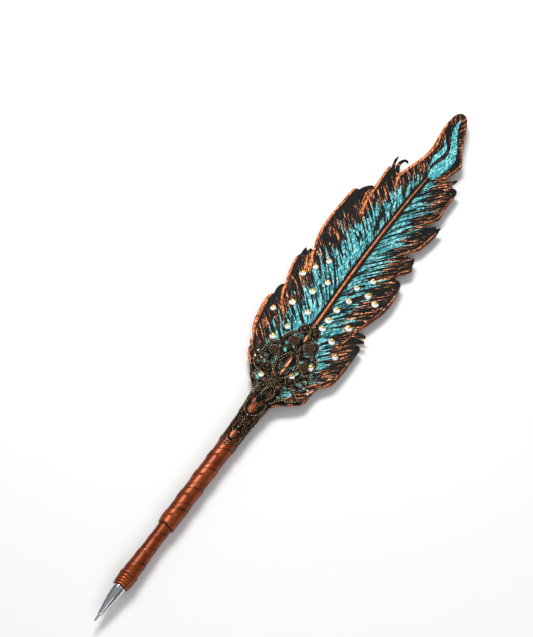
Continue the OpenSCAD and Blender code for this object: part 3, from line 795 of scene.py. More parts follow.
finish = {
    "copperLeather": copperLeather(),
    "feather": paintedFeather(),
    "back": backLeather(),
    "ridge": ridgePaint(),
    "bronze": agedMetal("antiqued cast bronze", ("#0D0805", "#4C3A29", "#E4CFA6"), 0.4, 1400.0),
    "rubbedAndLit": agedMetal("rubbed cast bronze", ("#140D08", "#5E4A35", "#A88F6A"), 0.4, 1600.0),
    "stud": agedMetal("satin brown bronze", ("#120A06", "#33221A", "#4E382A"), 0.3, 900.0),
    "chrome": turnedMetal("chromium plated brass", "#C9CCD0", 0.1, 9.0),
    "point": turnedMetal("turned nickel silver", "#C9C2B2", 0.25, 12.0),
    "brass": turnedMetal("turned brass", "#B98A3C", 0.3, 8.0),
    "wire": turnedMetal("drawn steel wire", "#8C8D90", 0.35, 1.0),
    "carbide": turnedMetal("polished carbide", "#8F9094", 0.12, 10.0),
    "white": glossPaint("white enamel dot", "#E4E3DC", "#FBFBF7", 0.0, 0.25),
    "gold": glossPaint("gold enamel bead", "#A87A1E", "#E2B851", 0.55, 0.28),
    "plastic": mouldedPlastic("white moulded polypropylene", "#E8E8E2", 0.4),
    "tube": mouldedPlastic("clear extruded polypropylene", "#DDE3E6", 0.25, 0.6),
    "barrel": mouldedPlastic("black moulded ABS", "#16171A", 0.45),
    "ink": mouldedPlastic("blue ballpoint ink", "#0B1440", 0.2),
    "grease": mouldedPlastic("clear follower grease", "#EFE6B8", 0.3),
}
print("feather pen: materials ready")


def buildNose():
    # a turned cone of two tapers with a screwed shank behind it; the thread is a right-hand helical ripple,
    # r = shank + depth (0.5 + 0.5 cos 2 pi (x / pitch + a)), with a in turns from the top towards +Y
    nose = {"tip": 3.2, "base": 17.7, "bend": 12.0, "end": 26.8, "bore": 0.68, "wideBore": 1.65,
            "pitch": 1.0, "thread": 0.13, "shank": 1.86}
    cone = roundedProfile([[nose["tip"], nose["bore"]], [nose["tip"], 0.92], [nose["tip"] + 0.5, 1.04],
                           [nose["bend"], 2.56], [nose["base"] - 0.9, 2.97], [nose["base"] - 0.8, 2.86],
                           [nose["base"] - 0.65, 2.86], [nose["base"] - 0.55, 3.0], [nose["base"], 3.0],
                           [nose["base"], nose["shank"]]], 0.12)
    screwX = np.arange(nose["base"] + 0.1, nose["end"], nose["pitch"] / 12)
    bore = np.array([[nose["end"] + 0.1, 1.9], [nose["end"] + 0.1, nose["wideBore"]],
                     [7.8, nose["wideBore"]], [6.4, nose["bore"]], [nose["tip"] + 0.05, nose["bore"]]])
    columns = 96
    turn = np.arange(columns) / columns
    phase = 2 * pi * (screwX[:, None] / nose["pitch"] + turn[None])
    screw = nose["shank"] + nose["thread"] * (0.5 + 0.5 * np.cos(phase))
    x = np.concatenate([cone[:, 0], screwX, bore[:, 0]])[:, None]
    radius = np.vstack([np.repeat(cone[:, 1:], columns, 1), screw, np.repeat(bore[:, 1:], columns, 1)])
    makePiece("nose_cone_turned", hollowTurning(x, radius), finish["chrome"],
              ["nose_cone"], "nose")


def helixShade(x, turn, first, pitch, lines):
    # dark lines that run round with the winding: each is exp(-(distance / width)^2). Each is a dark joint
    # line with painted shade along it, widest on the -Y side, away from the key light, and `draw` brings a
    # line nearer to its neighbour on the +Y side
    run = (x - first + pitch * turn) % pitch
    sideways = np.sin(2 * pi * turn)
    shade = np.zeros(np.broadcast(x, turn).shape)
    for offset, width, strength, draw in lines:
        gap = np.abs((run - offset + draw * sideways + pitch / 2) % pitch - pitch / 2)
        shade = np.maximum(shade, strength * np.exp(-(gap / (width * (1.1 - 0.45 * sideways))) ** 2))
    return run, shade


def signedTurn(columns):
    # fraction of a turn from the top, -0.5 to 0.5, so a winding's seam closes underneath
    turn = np.arange(columns) / columns
    return np.where(turn > 0.5, turn - 1, turn)


def makeWinding(name, node, x, radius, inner, shade):
    # a wound piece: its outside rows, then a plain bore of one radius
    columns = radius.shape[1]
    rows = np.vstack([x, [[x[-1, 0]], [x[0, 0]]]])
    outside = np.vstack([radius, np.full((2, columns), inner)])
    makePiece(name, hollowTurning(rows, outside), finish["copperLeather"], [node],
              attributes={"seamShade": np.vstack([shade, np.ones((2, columns))]).ravel()})


def buildBarrelWrap():
    # one strip wound along the barrel: r = base + lift where it overlaps, with a sharp step at its edge
    wrap = {"from": 51.0, "to": 97.4, "base": 4.02, "lift": 0.28, "inner": 3.3, "pitch": 11.5,
            "firstEdge": 59.2, "secondEdge": 2.7}
    x = np.arange(wrap["from"], wrap["to"], 0.12)[:, None]
    turn = signedTurn(128)[None]
    # dark joint lines along the strip's edges, with painted shade along them
    run, shade = helixShade(x, turn, wrap["firstEdge"], wrap["pitch"],
                            [(0.15, 0.34, 0.8, 0), (wrap["secondEdge"], 0.26, 0.6, 1.0)])
    ramp = np.clip((run - 7.3) / 1.4, 0, 1)
    overlap = ramp * ramp * (3 - 2 * ramp) * np.clip((wrap["pitch"] - run) / 0.25, 0, 1)
    groove = np.exp(-((run - wrap["secondEdge"] + np.sin(2 * pi * turn)) / 0.25) ** 2)
    ends = 0.35 * (np.exp(-((x - wrap["from"]) / 0.35) ** 2) + np.exp(-((x - wrap["to"]) / 0.3) ** 2))
    radius = wrap["base"] + wrap["lift"] * overlap - 0.1 * groove - ends
    makeWinding("barrel_wrap_strip", "barrel_wrap", x, radius, wrap["inner"], shade)


def buildGripWrap():
    # the narrower winding over the waisted grip
    grip = {"from": 24.6, "to": 51.2, "pitch": 8.15, "firstEdge": 29.4, "secondEdge": 4.4, "inner": 2.75,
            "lift": 0.12}
    waist = smoothCurve([[24.6, 3.6], [27, 3.72], [29, 3.7], [34, 3.52], [39, 3.3], [45, 3.2],
                         [49.5, 3.26], [51.2, 3.3]], 10)
    x = np.arange(grip["from"], grip["to"], 0.12)[:, None]
    turn = signedTurn(128)[None]
    run, shade = helixShade(x, turn, grip["firstEdge"], grip["pitch"],
                            [(0.12, 0.3, 0.75, 0), (grip["secondEdge"], 0.24, 0.45, 1.2)])
    ramp = np.clip((run - 5.2) / 1.4, 0, 1)
    overlap = ramp * np.clip((grip["pitch"] - run) / 0.2, 0, 1)
    radius = np.interp(x, waist[:, 0], waist[:, 1]) - 0.05 + grip["lift"] * overlap
    # painted shade where the barrel wrap's edge lies over the grip's end
    shade = np.maximum(shade, np.exp(-((x - 50.9) / 0.5) ** 2))
    makeWinding("grip_wrap_strip", "grip_wrap", x, radius, grip["inner"], shade)


def buildCollar():
    # five narrow turns of cord-thin strip: each turn's back is (1 - |t|^3)^0.5, with t from -1 to 1
    collar = {"edges": [17.8, 19.2, 20.4, 21.8, 23.3, 25.0], "crests": [3.55, 3.78, 3.88, 3.98, 4.12],
              "drop": 0.42, "lean": 0.35, "inner": 2.75}
    edges, crests = np.array(collar["edges"]), np.array(collar["crests"])
    x = np.arange(edges[0], edges[-1] + 0.001, 0.06)[:, None]
    lean = x + collar["lean"] * np.sin(2 * pi * signedTurn(128)[None])
    lean = np.clip(lean, edges[0], edges[-1] - 1e-6)
    which = np.searchsorted(edges, lean, side="right") - 1
    width = edges[which + 1] - edges[which]
    inTurn = (lean - edges[which]) / width * 2 - 1
    back = np.sqrt(np.clip(1 - np.abs(inTurn) ** 3, 0, 1))
    radius = crests[which] - collar["drop"] * (1 - back)
    # painted shade: darkest in the grooves where one turn meets the next
    shade = np.clip(1.5 - 1.9 * back, 0, 1)
    makeWinding("collar_cord_turns", "collar_windings", x, radius, collar["inner"], shade)


def buildNeck():
    # the leather neck: an ellipse at each x, round on the barrel and flat inside the feather
    neck = {"from": 96.5, "to": 143.5, "columns": 96, "shade": 0.2}
    x = np.linspace(neck["from"], neck["to"], 160)
    wide, high = neckSize(x)
    angle = np.arange(neck["columns"]) / neck["columns"] * 2 * pi
    under = np.interp(x, [120, 132, neck["to"]], [1.0, 1.0, 1.6])  # it is deeper below its thin end
    z = high[:, None] * np.cos(angle)[None]
    rings = np.stack([np.repeat(x[:, None], neck["columns"], 1), wide[:, None] * np.sin(angle)[None],
                      np.where(z < 0, z * under[:, None], z)], -1)
    verts, faces = closedTube(rings)
    makePiece("neck_leather", (verts, faces), finish["copperLeather"], ["neck_wrap"],
              attributes={"seamShade": np.full(len(verts), neck["shade"])})


buildNose()
buildCollar()
buildGripWrap()
buildBarrelWrap()
buildNeck()
print("feather pen: barrel pieces made")


def frontTop(x, y):
    # painted face with shallow tooled barbs: a ripple across the barbs that fades at the quill
    s = x - spread(np.abs(y - quillY(x)))
    far = np.clip(np.abs(y - quillY(x)) / 6, 0, 1)
    ripple = 0.05 * np.sin(2 * pi * s / 2.3 + 1.5 * np.sin(s / 5)) + 0.05 * np.sin(2 * pi * s / 5.9)
    return leatherTop(x, y) + ripple * far - 0.1


def betweenLayers(x, y):
    return np.sqrt(camber ** 2 - y ** 2) - camber


def backBottom(x, y):
    s = x - spread(np.abs(y - quillY(x)))
    return np.sqrt((camber - layer) ** 2 - y ** 2) - camber + 0.04 * np.sin(2 * pi * s / 2.6) + 0.06


def coarsePoints():
    x, y = np.meshgrid(np.arange(126, 322, 4.0), np.arange(-26, 30, 4.0), indexing="ij")
    points = np.column_stack([x.ravel(), y.ravel()])
    rim = featherOutline(0.8)
    points = points[insideOf(points, rim)]
    return points[distanceTo(points, rim, closed=True) > 1.0]


def buildFeather():
    inner = coarsePoints()
    front = leatherSheet(frontTop, betweenLayers, barbGrid(0.6, 0.5), inner)
    makePiece("feather_painted_front", front, finish["feather"], ["feather_front"],
              attributes=paintMap(front[0]))
    # the back layer is the same sheet upside down: its fine side is underneath
    under = leatherSheet(lambda x, y: -backBottom(x, y), lambda x, y: -betweenLayers(x, y),
                         barbGrid(0.9, 0.9), inner, 0.08)
    verts = under[0] * np.array([1, 1, -1])
    makePiece("feather_backing", (verts, under[1]), finish["back"], ["feather_back"],
              attributes=paintMap(verts))


def buildRidge():
    # the raised quill: a half-round bead that follows the quill line and tapers to a point
    ridge = {"low": 0.3, "high": 0.85, "sink": 0.1}
    line = smoothCurve([[140, -0.4, 1.5], [150, -0.3, 1.5], [160, -0.1, 1.4], [172.6, 0.2, 1.4],
                        [180, 0.4, 1.3], [200, 1.0, 1.2], [220, 1.2, 1.15], [240, 1.0, 1.05],
                        [260, 0.5, 0.9], [270, 0, 0.65], [277.4, -0.4, 0.2]], 16)
    # it lies low under the filigree and stands up beyond it
    height = line[:, 2] * np.interp(line[:, 0], [170, 173.5], [ridge["low"], ridge["high"]])
    path = onLeather(line[:, :2], -ridge["sink"])
    makePiece("quill_ridge_bead", sweep(path, line[:, 2], height, sides=14), finish["ridge"],
              ["quill_ridge"])


def buildWisps():
    # loose barbs: flat strips that taper and lift a little at their ends, as (x, y, width, lift)
    strips = [
        [[270.5, 15.6, 0.5, 0], [273.2, 17.2, 1.1, 0.1], [276, 18.4, 1.0, 0.3], [278.5, 18.9, 0.9, 0.5],
         [280.6, 18.8, 0.4, 0.6]],
        [[268.5, 12.4, 0.4, 0], [272.4, 14.4, 1.3, 0.2], [275.5, 15.9, 1.3, 0.5], [278.5, 15.7, 1.2, 0.8],
         [280.2, 14.2, 1.1, 0.8], [279.5, 12.6, 0.5, 0.6]],
        [[277, -9.6, 0.6, 0], [279.6, -11.4, 1.5, 0.1], [281.4, -12.4, 1.3, 0.2], [283.4, -13.4, 0.7, 0.3]],
        [[202, 26.2, 0.5, 0], [205, 27.6, 1.0, 0.1], [208.4, 28.0, 0.4, 0.2]],
        [[249, -18, 0.5, 0], [251.6, -20, 1.0, 0.05], [253.8, -20.7, 0.4, 0.1]],
    ]
    parts = []
    for strip in strips:
        curve = smoothCurve(strip, 8)
        z = leatherTop(curve[:, 0], curve[:, 1]) - 0.5 + curve[:, 3]
        parts.append(sweep(np.column_stack([curve[:, :2], z]), curve[:, 2] * 1.6, 0.75, sides=10))
    verts, faces = joinParts(parts)
    values = paintMap(verts)
    # their outer edge is copper and the rest black
    values["copperGap"] = np.where(verts[:, 1] > 10, 0.5 + 0.6 * np.sin(verts[:, 0] * 1.2), 1.5)
    makePiece("loose_barbs", (verts, faces), finish["feather"], ["feather_wisps"],
              attributes=values)


buildFeather()
buildRidge()
buildWisps()
print("feather pen: feather made")


def aroundNeck(points, turn, lift=0.0):
    # (x, millimetres round the neck from the motif's middle) places at a turn in degrees
    points = np.asarray(points, float)
    angle = turn + np.degrees(points[:, 1] / (neckSize(points[:, 0])[0] + lift))
    return roundNeck(np.column_stack([points[:, 0], angle]), lift)


def neckWire(points, turn, width):
    path = aroundNeck(evenly(smoothCurve(points, 8), 0.3), turn, width * 0.3 + 0.14)
    return sweep(path, width, up=outward(path))


def neckBeads(points, turn, gap, radius):
    return beads(aroundNeck(evenly(smoothCurve(points, 8), gap), turn, radius * 0.6 + 0.14), radius)


def faceWire(points, width, lift=0.0):
    return sweep(onLeather(evenly(smoothCurve(points, 8), 0.3), width * 0.3 + lift), width)


def faceBeads(points, gap, radius, lift=0.0):
    return beads(onLeather(evenly(smoothCurve(points, 8), gap), radius * 0.6 + lift), radius)


def facePlate(points, width, height):
    # a puffed leaf: its width swells as a half sine from one end to the other
    path = evenly(smoothCurve(points, 8), 0.25)
    swell = np.sin(np.linspace(0.06, pi - 0.06, len(path))) ** 0.8
    return sweep(onLeather(path, 0.1), width * swell, height * swell, sides=12)


def circlePoints(x, y, radius, count=24):
    angle = np.linspace(0, 2 * pi, count + 1)
    return np.column_stack([x + radius * np.cos(angle), y + radius * np.sin(angle)])


def castPiece(name, finishName, node, hollows, lines, knobs, wrapped=False):
    # joins the parts of one casting and marks how worn each kind is, and which way its crowns face for their
    # painted highlight
    groups = [(hollows, 0.12), (lines, 0.6), (knobs, 1.3)]
    wear = [np.full(len(part[0]), worn) for parts, worn in groups for part in parts]
    verts, faces = joinParts(hollows + lines + knobs)
    out = outward(verts) if wrapped else np.tile([0.0, 0.0, 1.0], (len(verts), 1))
    makePiece(name, (verts, faces), finish[finishName], [node],
              attributes={"castWear": np.concatenate(wear), "castOut": out})


def lensLoop(x, y, long, short, turn, grow=1.0):
    # a pointed window: (L/2 cos t, W/2 sin t |sin t|^0.35), turned by `turn` degrees
    t = np.arange(28) / 28 * 2 * pi
    along = grow * long / 2 * np.cos(t)
    across = grow * short / 2 * np.sin(t) * np.abs(np.sin(t)) ** 0.35
    c, s = np.cos(radians(turn)), np.sin(radians(turn))
    return np.column_stack([x + along * c - across * s, y + along * s + across * c])


def punchedPlate(outline, windows, carry, top, bottom):
    # a thin cast plate: the flat outline less its windows, carried onto a curved surface at two heights
    grid = np.stack(np.meshgrid(np.arange(outline[:, 0].min(), outline[:, 0].max(), 0.9),
                                np.arange(outline[:, 1].min(), outline[:, 1].max(), 0.9)), -1).reshape(-1, 2)
    grid = grid[insideOf(grid, outline)]
    for loop in [outline] + windows:
        grid = grid[distanceTo(grid, loop, closed=True) > 0.35]
    coords, edges = [], []
    for loop in [outline] + windows:
        first = len(coords)
        coords += [Vector(p) for p in loop.tolist()]
        edges += [(first + k, first + (k + 1) % len(loop)) for k in range(len(loop))]
    out = delaunay_2d_cdt(coords + [Vector(p) for p in grid.tolist()], edges, [], 0, 1e-7, False)
    places, faces = np.array([[v.x, v.y] for v in out[0]]), np.array(out[2])
    middle = places[faces].mean(1)
    kept = insideOf(middle, outline)
    for loop in windows:
        kept &= ~insideOf(middle, loop)
    faces = faces[kept]
    sides = np.vstack([faces[:, [0, 1]], faces[:, [1, 2]], faces[:, [2, 0]]])
    key = np.sort(sides, 1) @ np.array([len(places), 1])
    values, counts = np.unique(key, return_counts=True)
    rim = sides[np.isin(key, values[counts == 1])]
    walls = np.column_stack([rim[:, 0], rim[:, 0] + len(places), rim[:, 1] + len(places), rim[:, 1]])
    verts = np.vstack([carry(places, top), carry(places, bottom)])
    return verts, faces.tolist() + (faces[:, ::-1] + len(places)).tolist() + walls.tolist()


# the neck plate's windows, as (x, millimetres round the neck, length, width, turn in degrees)
sleeveWindows = [[102.9, 0, 5.2, 2.9, 0], [107.2, 3.4, 4.6, 2.9, -25], [107.2, -3.4, 4.6, 2.9, 25],
                 [111.6, 2.3, 2.0, 1.2, 0], [111.6, -2.3, 2.0, 1.2, 0], [115.2, 4, 2.8, 1.7, 30],
                 [115.2, -4, 2.8, 1.7, -30], [118.3, 0, 6.0, 4.0, 0], [122.5, 2.2, 4.8, 2.0, 20],
                 [122.5, -2.2, 4.8, 2.0, -20]]


def sleeveOutline():
    # the foot is scalloped round the pointed window; the long sides meet the next motif's at 60 degrees
    x = np.linspace(104.6, 124.3, 24)
    side = np.radians(60) * neckSize(x)[0] + 0.02
    foot = smoothCurve([[104.6, -4.4], [104, -3], [102.4, -2.3], [100.4, -1.5], [99, 0], [100.4, 1.5],
                        [102.4, 2.3], [104, 3], [104.6, 4.4]], 4)[1:-1]
    return np.vstack([np.column_stack([x, side])[::-1], foot[::-1], np.column_stack([x, -side])])


def buildSleeve():
    # one motif, three times round: bead ring, pointed window, side scrolls, twisted stem, beaded leaf
    sleeve = {"turns": [-8, 112, 232], "wire": 0.44, "fine": 0.3, "bead": 0.42, "smallBead": 0.3,
              "top": 0.14, "bottom": -0.2}
    wire, fine, small = sleeve["wire"], sleeve["fine"], sleeve["smallBead"]
    windows = [lensLoop(*window) for window in sleeveWindows]
    hollows, lines, knobs = [], [], []
    for turn in sleeve["turns"]:
        def carry(places, lift):
            return aroundNeck(places, turn, lift)
        hollows.append(punchedPlate(sleeveOutline(), windows, carry, sleeve["top"], sleeve["bottom"]))
        for window in windows:
            path = aroundNeck(window, turn, 0.2)
            lines.append(loopWire(path, 0.36, up=outward(path)))
        ring = circlePoints(97.9, 0, 1.0)
        knobs.append(beads(aroundNeck(ring[::4][:6], turn, 0.28), sleeve["bead"]))
        lines.append(neckWire(ring, turn, fine))
        knobs.append(beads(aroundNeck([[106.6, 0], [113.9, 0]], turn, 0.35), [0.48, 0.68]))
        for side in (-1, 1):
            curves = [
                ([[106.8, 0], [108, 0.5], [109.4, -0.5], [110.8, 0.5], [112.2, -0.5], [113.6, 0]], wire),
                ([[98.7, 0.8], [99.2, 2.6], [101.2, 3.9], [103.6, 4.5], [105.4, 5]], wire),
                ([[103.6, 4.4], [102, 3.7], [102.3, 2.7], [103.8, 2.4], [104.9, 3.1], [104.1, 3.7]],
                 fine),
                ([[109.4, 1.2], [110.6, 2.9], [112.8, 3.6], [114.4, 2.6]], fine),
                ([[113.9, 0], [115.2, 2], [117.4, 3.5], [120.4, 4.4], [122.6, 4.1], [124.4, 3]], wire),
                ([[106.6, 5.1], [109, 5.6], [112, 4.9], [115, 5], [118, 5.6], [121, 5.6]], wire),
                ([[116.4, 4.6], [117.6, 5], [119.6, 5.3], [122, 5.3]], fine),
                ([[115.2, 0.2], [116.8, 0.9], [119.4, 0.8], [121.4, 0.2]], fine),
            ]
            for line, width in curves:
                lines.append(neckWire([[x, across * side] for x, across in line], turn, width))
            row = [[114.8, 1.7], [117, 3.9], [120.4, 5], [123.4, 4.7]]
            knobs.append(neckBeads([[x, across * side] for x, across in row], turn, 1.0, 0.38))
            row = [[99.4, 3.4], [101.2, 4.6], [103.4, 5.2]]
            knobs.append(neckBeads([[x, across * side] for x, across in row], turn, 0.85, small))
            spots = [[109, 1.2], [110.4, 1.3], [112, 1.1], [104.9, 1.6], [100.4, 1.5]]
            knobs.append(beads(aroundNeck([[x, across * side] for x, across in spots], turn, 0.25), small))
    castPiece("filigree_sleeve_wires", "bronze", "filigree_sleeve", hollows, lines,
              knobs, wrapped=True)


# the spray's plate: its outline, and its windows as (x, y, length, width, turn in degrees)
sprayOutline = [[123.4, 4.6], [127, 5.7], [130.4, 7.5], [132.8, 9.6], [135, 11.6], [137.2, 11.4],
                [138.4, 12.8], [140.8, 14.2], [143.6, 14.3], [146, 13.3], [149, 12.5], [152.4, 12.7],
                [155, 11.3], [156.7, 9.4], [159.4, 9.4], [162.6, 8.2], [165.2, 5.9], [168.2, 5.5],
                [170.6, 4], [172.8, 1.2], [172.8, -0.9], [170.3, -4.2], [167.8, -5.3], [165.2, -4.9],
                [163.8, -7.3], [160.4, -8.8], [158.2, -8.5], [156.6, -10.4], [153.6, -12.3],
                [150.6, -12.5], [148, -12], [146, -13.6], [143.4, -14.2], [140.8, -15], [138.2, -13.7],
                [136.6, -12], [134.6, -13.4], [132.8, -14.6], [131.2, -12.5], [129.8, -10.4],
                [128, -8.4], [125.6, -6.4], [123.4, -4.8]]
sprayWindows = [[133.7, -8.6, 5.4, 4.4, 90], [136.4, -5.7, 2.4, 1.4, 50], [139.7, 2.3, 3.3, 1.7, 15],
                [145.6, 5.7, 5.4, 2.2, 25], [143.7, 9.7, 2.9, 2.2, 60], [146.5, 10.6, 2.7, 1.6, 60],
                [145.2, 1.9, 3.8, 1.7, 10], [148.6, -0.1, 6.0, 1.6, 0], [143.1, -0.6, 4.0, 1.5, 0],
                [151, -5.3, 4.0, 2.1, -20], [145.2, -6.4, 3.6, 1.7, -35], [141.4, -10.3, 3.6, 2.2, 70],
                [143.9, -12.1, 2.7, 1.6, 60], [146.4, -10.1, 2.7, 1.5, -40],
                [153.5, -9.6, 2.4, 1.5, 30], [157.2, 2.0, 2.9, 1.5, 60], [157.3, 6.3, 2.4, 1.6, 60],
                [154.4, 8.9, 2.9, 1.5, 60], [153.8, 4.9, 3.1, 1.7, 40], [163.5, 5.3, 3.1, 1.7, -30],
                [163.7, 2.2, 2.9, 2.0, 20], [156.5, -5.2, 3.3, 1.9, 80], [164.1, -4.6, 2.2, 1.7, 20],
                [156.2, -8.2, 2.4, 1.4, 20], [164.4, -0.3, 5.1, 1.7, 0], [152.2, 11.4, 2.2, 1.2, 10],
                [135.2, 8.0, 5.8, 3.7, 50], [132.6, -12, 3.3, 1.9, 110], [137.2, -11, 3.6, 2.0, 70],
                [140.1, -12.9, 3.3, 2.3, 0], [128.4, 3.3, 3.6, 1.6, 15], [128.4, -3.5, 3.6, 1.6, -15],
                [144.6, -2.5, 4.7, 1.3, -5], [149.2, 6.0, 2.2, 1.3, 0], [147.2, -4.0, 2.7, 1.2, 10],
                [157.9, -1.2, 3.1, 1.4, 0], [131.6, 5.6, 2.2, 1.3, 30], [130.6, -6.4, 2.2, 1.3, -50],
                [141.6, 11.9, 2.2, 1.6, 40]]
flowerPlace = (134.8, 0.0)
studPlaces = [[141.8, 6.9], [140.2, -6.4], [168.2, 3], [167.6, -2.7]]
discPlaces = [[151, 8.9], [160, 4], [160, -4.6], [150, -7.9]]


def buildSpray():
    spray = {"wire": 0.5, "fine": 0.36, "bead": 0.5, "beadGap": 1.15, "open": 1.13, "lift": 0.16}
    wire, fine = spray["wire"], spray["fine"]
    flower = np.array(flowerPlace)
    windows = [lensLoop(*window, spray["open"]) for window in sprayWindows]
    outline = evenly(smoothCurve(sprayOutline + sprayOutline[:1], 6), 0.6)[:-1]
    hollows, lines, knobs = [punchedPlate(outline, windows, onLeather, 0.14, -0.2)], [], []
    for window in windows:
        lines.append(loopWire(onLeather(window, 0.2), 0.36))
    # the flower: eight teardrop petals, each a wire there and back, round a ringed eye
    for k in range(8):
        way = k * pi / 4 + 0.2
        along = np.array([np.cos(way), np.sin(way)])
        across = np.array([-np.sin(way), np.cos(way)])
        for side in (-1, 1):
            petal = [flower + r * along + side * w * across
                     for r, w in ((1.2, 0.15), (2.2, 0.75), (3.2, 0.85), (3.9, 0.1))]
            lines.append(faceWire(petal, 0.42, 0.5))
        leaf = [flower + r * along for r in (1.6, 2.5, 3.4)]
        lines.append(facePlate(leaf, 1.0, 1.3))
        knobs.append(beads(onLeather([flower + 4.2 * along], 0.4), 0.36))
    # broad puffed leaves above and below the flower
    lines.append(facePlate([[134.4, 2.2], [134.4, 4.2], [134.8, 6.4]], 3.3, 1.1))
    lines.append(facePlate([[134.4, -2.4], [134.2, -4.2], [134.2, -6]], 3.1, 1.1))
    wires = [
        # pointed leaves that open up the quill, above and below it
        [[138.2, 0.4], [141, 2.8], [145.5, 3.9], [150, 2.6], [154, 0.6]],
        [[138.2, 0.4], [141, 0.5], [145.5, 0.6], [150, 0.3], [154, 0.6]],
        [[138.2, -0.9], [141, -3.2], [146, -4.6], [151, -3.2], [154.4, -0.6]],
        [[138.2, -0.9], [141.4, -1.1], [146, -1.3], [151, -0.8], [154.4, -0.6]],
        # scrolls on the +Y side
        [[134.6, 5.4], [133.2, 7], [132.8, 8.8], [134, 10.6], [135.8, 10.6], [136.4, 9], [135, 8]],
        [[136, 6], [138.6, 8.8], [139, 11.6], [141.4, 13.9], [144, 13.4], [145, 11.6], [143.4, 10.2],
         [141.8, 11.2]],
        [[144, 13.4], [147, 12.6], [149.4, 12.2], [152.6, 12.4], [155, 10.6], [156, 8]],
        [[156, 8], [158.6, 8.6], [161.6, 7.6], [164.4, 5.2], [165.6, 3]],
        [[136.2, 3.4], [138.4, 4.6], [140, 5.4]], [[143.8, 8], [146, 9.6], [148.6, 9.4]],
        [[153.3, 8], [155, 6.2], [157.6, 5]], [[138.6, 8.8], [140.4, 9.6], [143.4, 10.2]],
        # scrolls on the -Y side
        [[134.4, -5.4], [131.8, -7.4], [130.9, -10], [131.8, -12.4], [133, -14]],
        [[133, -14], [134.6, -12.2], [136.6, -9.6], [136, -6.8], [134.4, -5.4]],
        [[137, -9], [138, -12.5], [140.4, -14.4], [143, -13.4], [143.4, -11.2], [141.6, -10.2],
         [139.8, -11.2]],
        [[143, -13.4], [145.6, -13.2], [146.8, -11.4], [145.6, -9.6], [147.6, -8.6]],
        [[145.6, -9.6], [147.6, -11.6], [151, -11.9], [154.4, -11], [157, -8.6]],
        [[157, -8.6], [155.4, -6], [154.6, -3], [156, -1]],
        [[164, -1], [166, -0.2], [169, 0.3], [171.4, 0.4]],
        [[136.2, -3.4], [138, -4.8], [139, -5.6]], [[142, -7.6], [144, -9], [147.6, -8.4]],
        [[154, 0.6], [156.4, 0.4], [158.4, 1.9]], [[154.4, -0.6], [156.6, -0.9], [157.8, -2.4]],
        [[161.8, 4.6], [164.2, 3.9], [166, 3.2]], [[162.4, -4.1], [164.4, -3.4], [165.6, -2.9]],
        # stem down to the neck's leaf
        [[131.2, 0], [128.6, 0.9], [126, 0.7], [124, 0]],
        [[131.2, 0], [128.6, -0.9], [126, -0.7], [124, 0]],
        [[124.4, 3], [127, 3.6], [129.4, 3.2], [131.4, 1.8]],
        [[124.4, -3], [127, -3.6], [129.4, -3.2], [131.4, -1.8]],
        [[124.6, 4.3], [127.4, 5], [130.2, 6], [132.4, 7.6]],
        [[124.6, -4.4], [127.2, -5.4], [129.4, -6.9], [130.8, -8.8]],
    ]
    for line in wires:
        lines.append(faceWire(line, wire, spray["lift"]))
    rows = [
        [[139.6, 2.2], [142.4, 4.2], [146, 4.9], [150.4, 3.7], [153.4, 1.8]],
        [[139.6, -2.8], [142.6, -4.9], [146.4, -5.6], [151, -4.3], [153.6, -2.2]],
        [[131, -8.2], [130.2, -10], [131.2, -12], [132.6, -13.9]],
        [[136.8, -8], [137, -9.8], [135.4, -12.4], [133.6, -14.6]],
        [[125.4, 5], [128.2, 5.8], [131, 7]], [[125.2, -5.2], [127.6, -6.6], [129.8, -8.6]],
        [[137.4, 7.2], [137.9, 9.8], [139.4, 13]], [[146, 14], [149.6, 13.4], [153.4, 13.1], [156.4, 10.2]],
        [[159, 9.4], [162.4, 8.2], [165, 5.9]], [[144.4, -14.2], [146.8, -13.6], [148.4, -12.7]],
        [[150.4, -12.8], [154.4, -12], [157.4, -9.8]],
        [[125.4, 3.9], [127.6, 4.6], [129.8, 4.6], [131.6, 3.8]],
        [[125.4, -3.9], [127.6, -4.6], [129.6, -4.6], [131.4, -3.8]], [[126.4, 0], [131, 0]],
    ]
    for row in rows:
        knobs.append(faceBeads(row, spray["beadGap"], spray["bead"], spray["lift"]))
    loops = [(142.4, 12, 0.9), (133.9, 9.7, 0.8), (141.4, -12.3, 0.8), (128.3, 2.1, 0.8), (128.3, -2.1, 0.8),
             (148.6, 6.1, 0.9), (144.2, 6.4, 0.9), (137.6, 5.7, 0.8), (147.4, -6.1, 0.8),
             (155.8, 3.9, 0.8), (156.2, -7.4, 0.7), (163.4, 0.9, 0.7), (150.9, 5.4, 0.6),
             (138.9, -8.5, 0.8), (146.2, 11.2, 0.7), (136.4, -11.9, 0.7), (153.4, -6.6, 0.7)]
    for x, y, radius in loops:
        lines.append(faceWire(circlePoints(x, y, radius, 16), fine, spray["lift"]))
    for x, y in studPlaces:
        lines.append(faceWire(circlePoints(x, y, 2.15), wire, spray["lift"]))
    for x, y in discPlaces:
        lines.append(faceWire(circlePoints(x, y, 2.45), 0.55, 0.2))
    lines.append(faceWire(circlePoints(167.6, -2.7, 3.0)[:17], fine, 0.1))
    lines.append(faceWire(circlePoints(160.4, -4.9, 3.5), wire, spray["lift"]))
    knobs.append(beads(onLeather([[171.9, 0.7], [172.6, 0], [171.2, -0.6], [170.4, 0.5]], 0.3), 0.48))
    castPiece("filigree_spray_wires", "bronze", "filigree_spray", hollows, lines, knobs)


def domeShape(radius, height, rings=9, columns=28, wobble=0.0, seed=0):
    # r = radius sin(t), z = height cos(t), with the rim pushed in and out by a few slow waves
    t = np.linspace(0.06, pi / 2, rings)[::-1]
    angle = np.arange(columns) / columns * 2 * pi
    wave = 1 + wobble * (np.sin(2 * angle + seed) + 0.6 * np.sin(3 * angle + 2.1 * seed))
    r = np.append([1.0], np.sin(t))[:, None] * radius * wave[None]
    z = np.append([-0.3], np.cos(t) * height)[:, None] * np.ones_like(wave)[None]
    return closedTube(np.stack([r * np.cos(angle), r * np.sin(angle), z], -1))


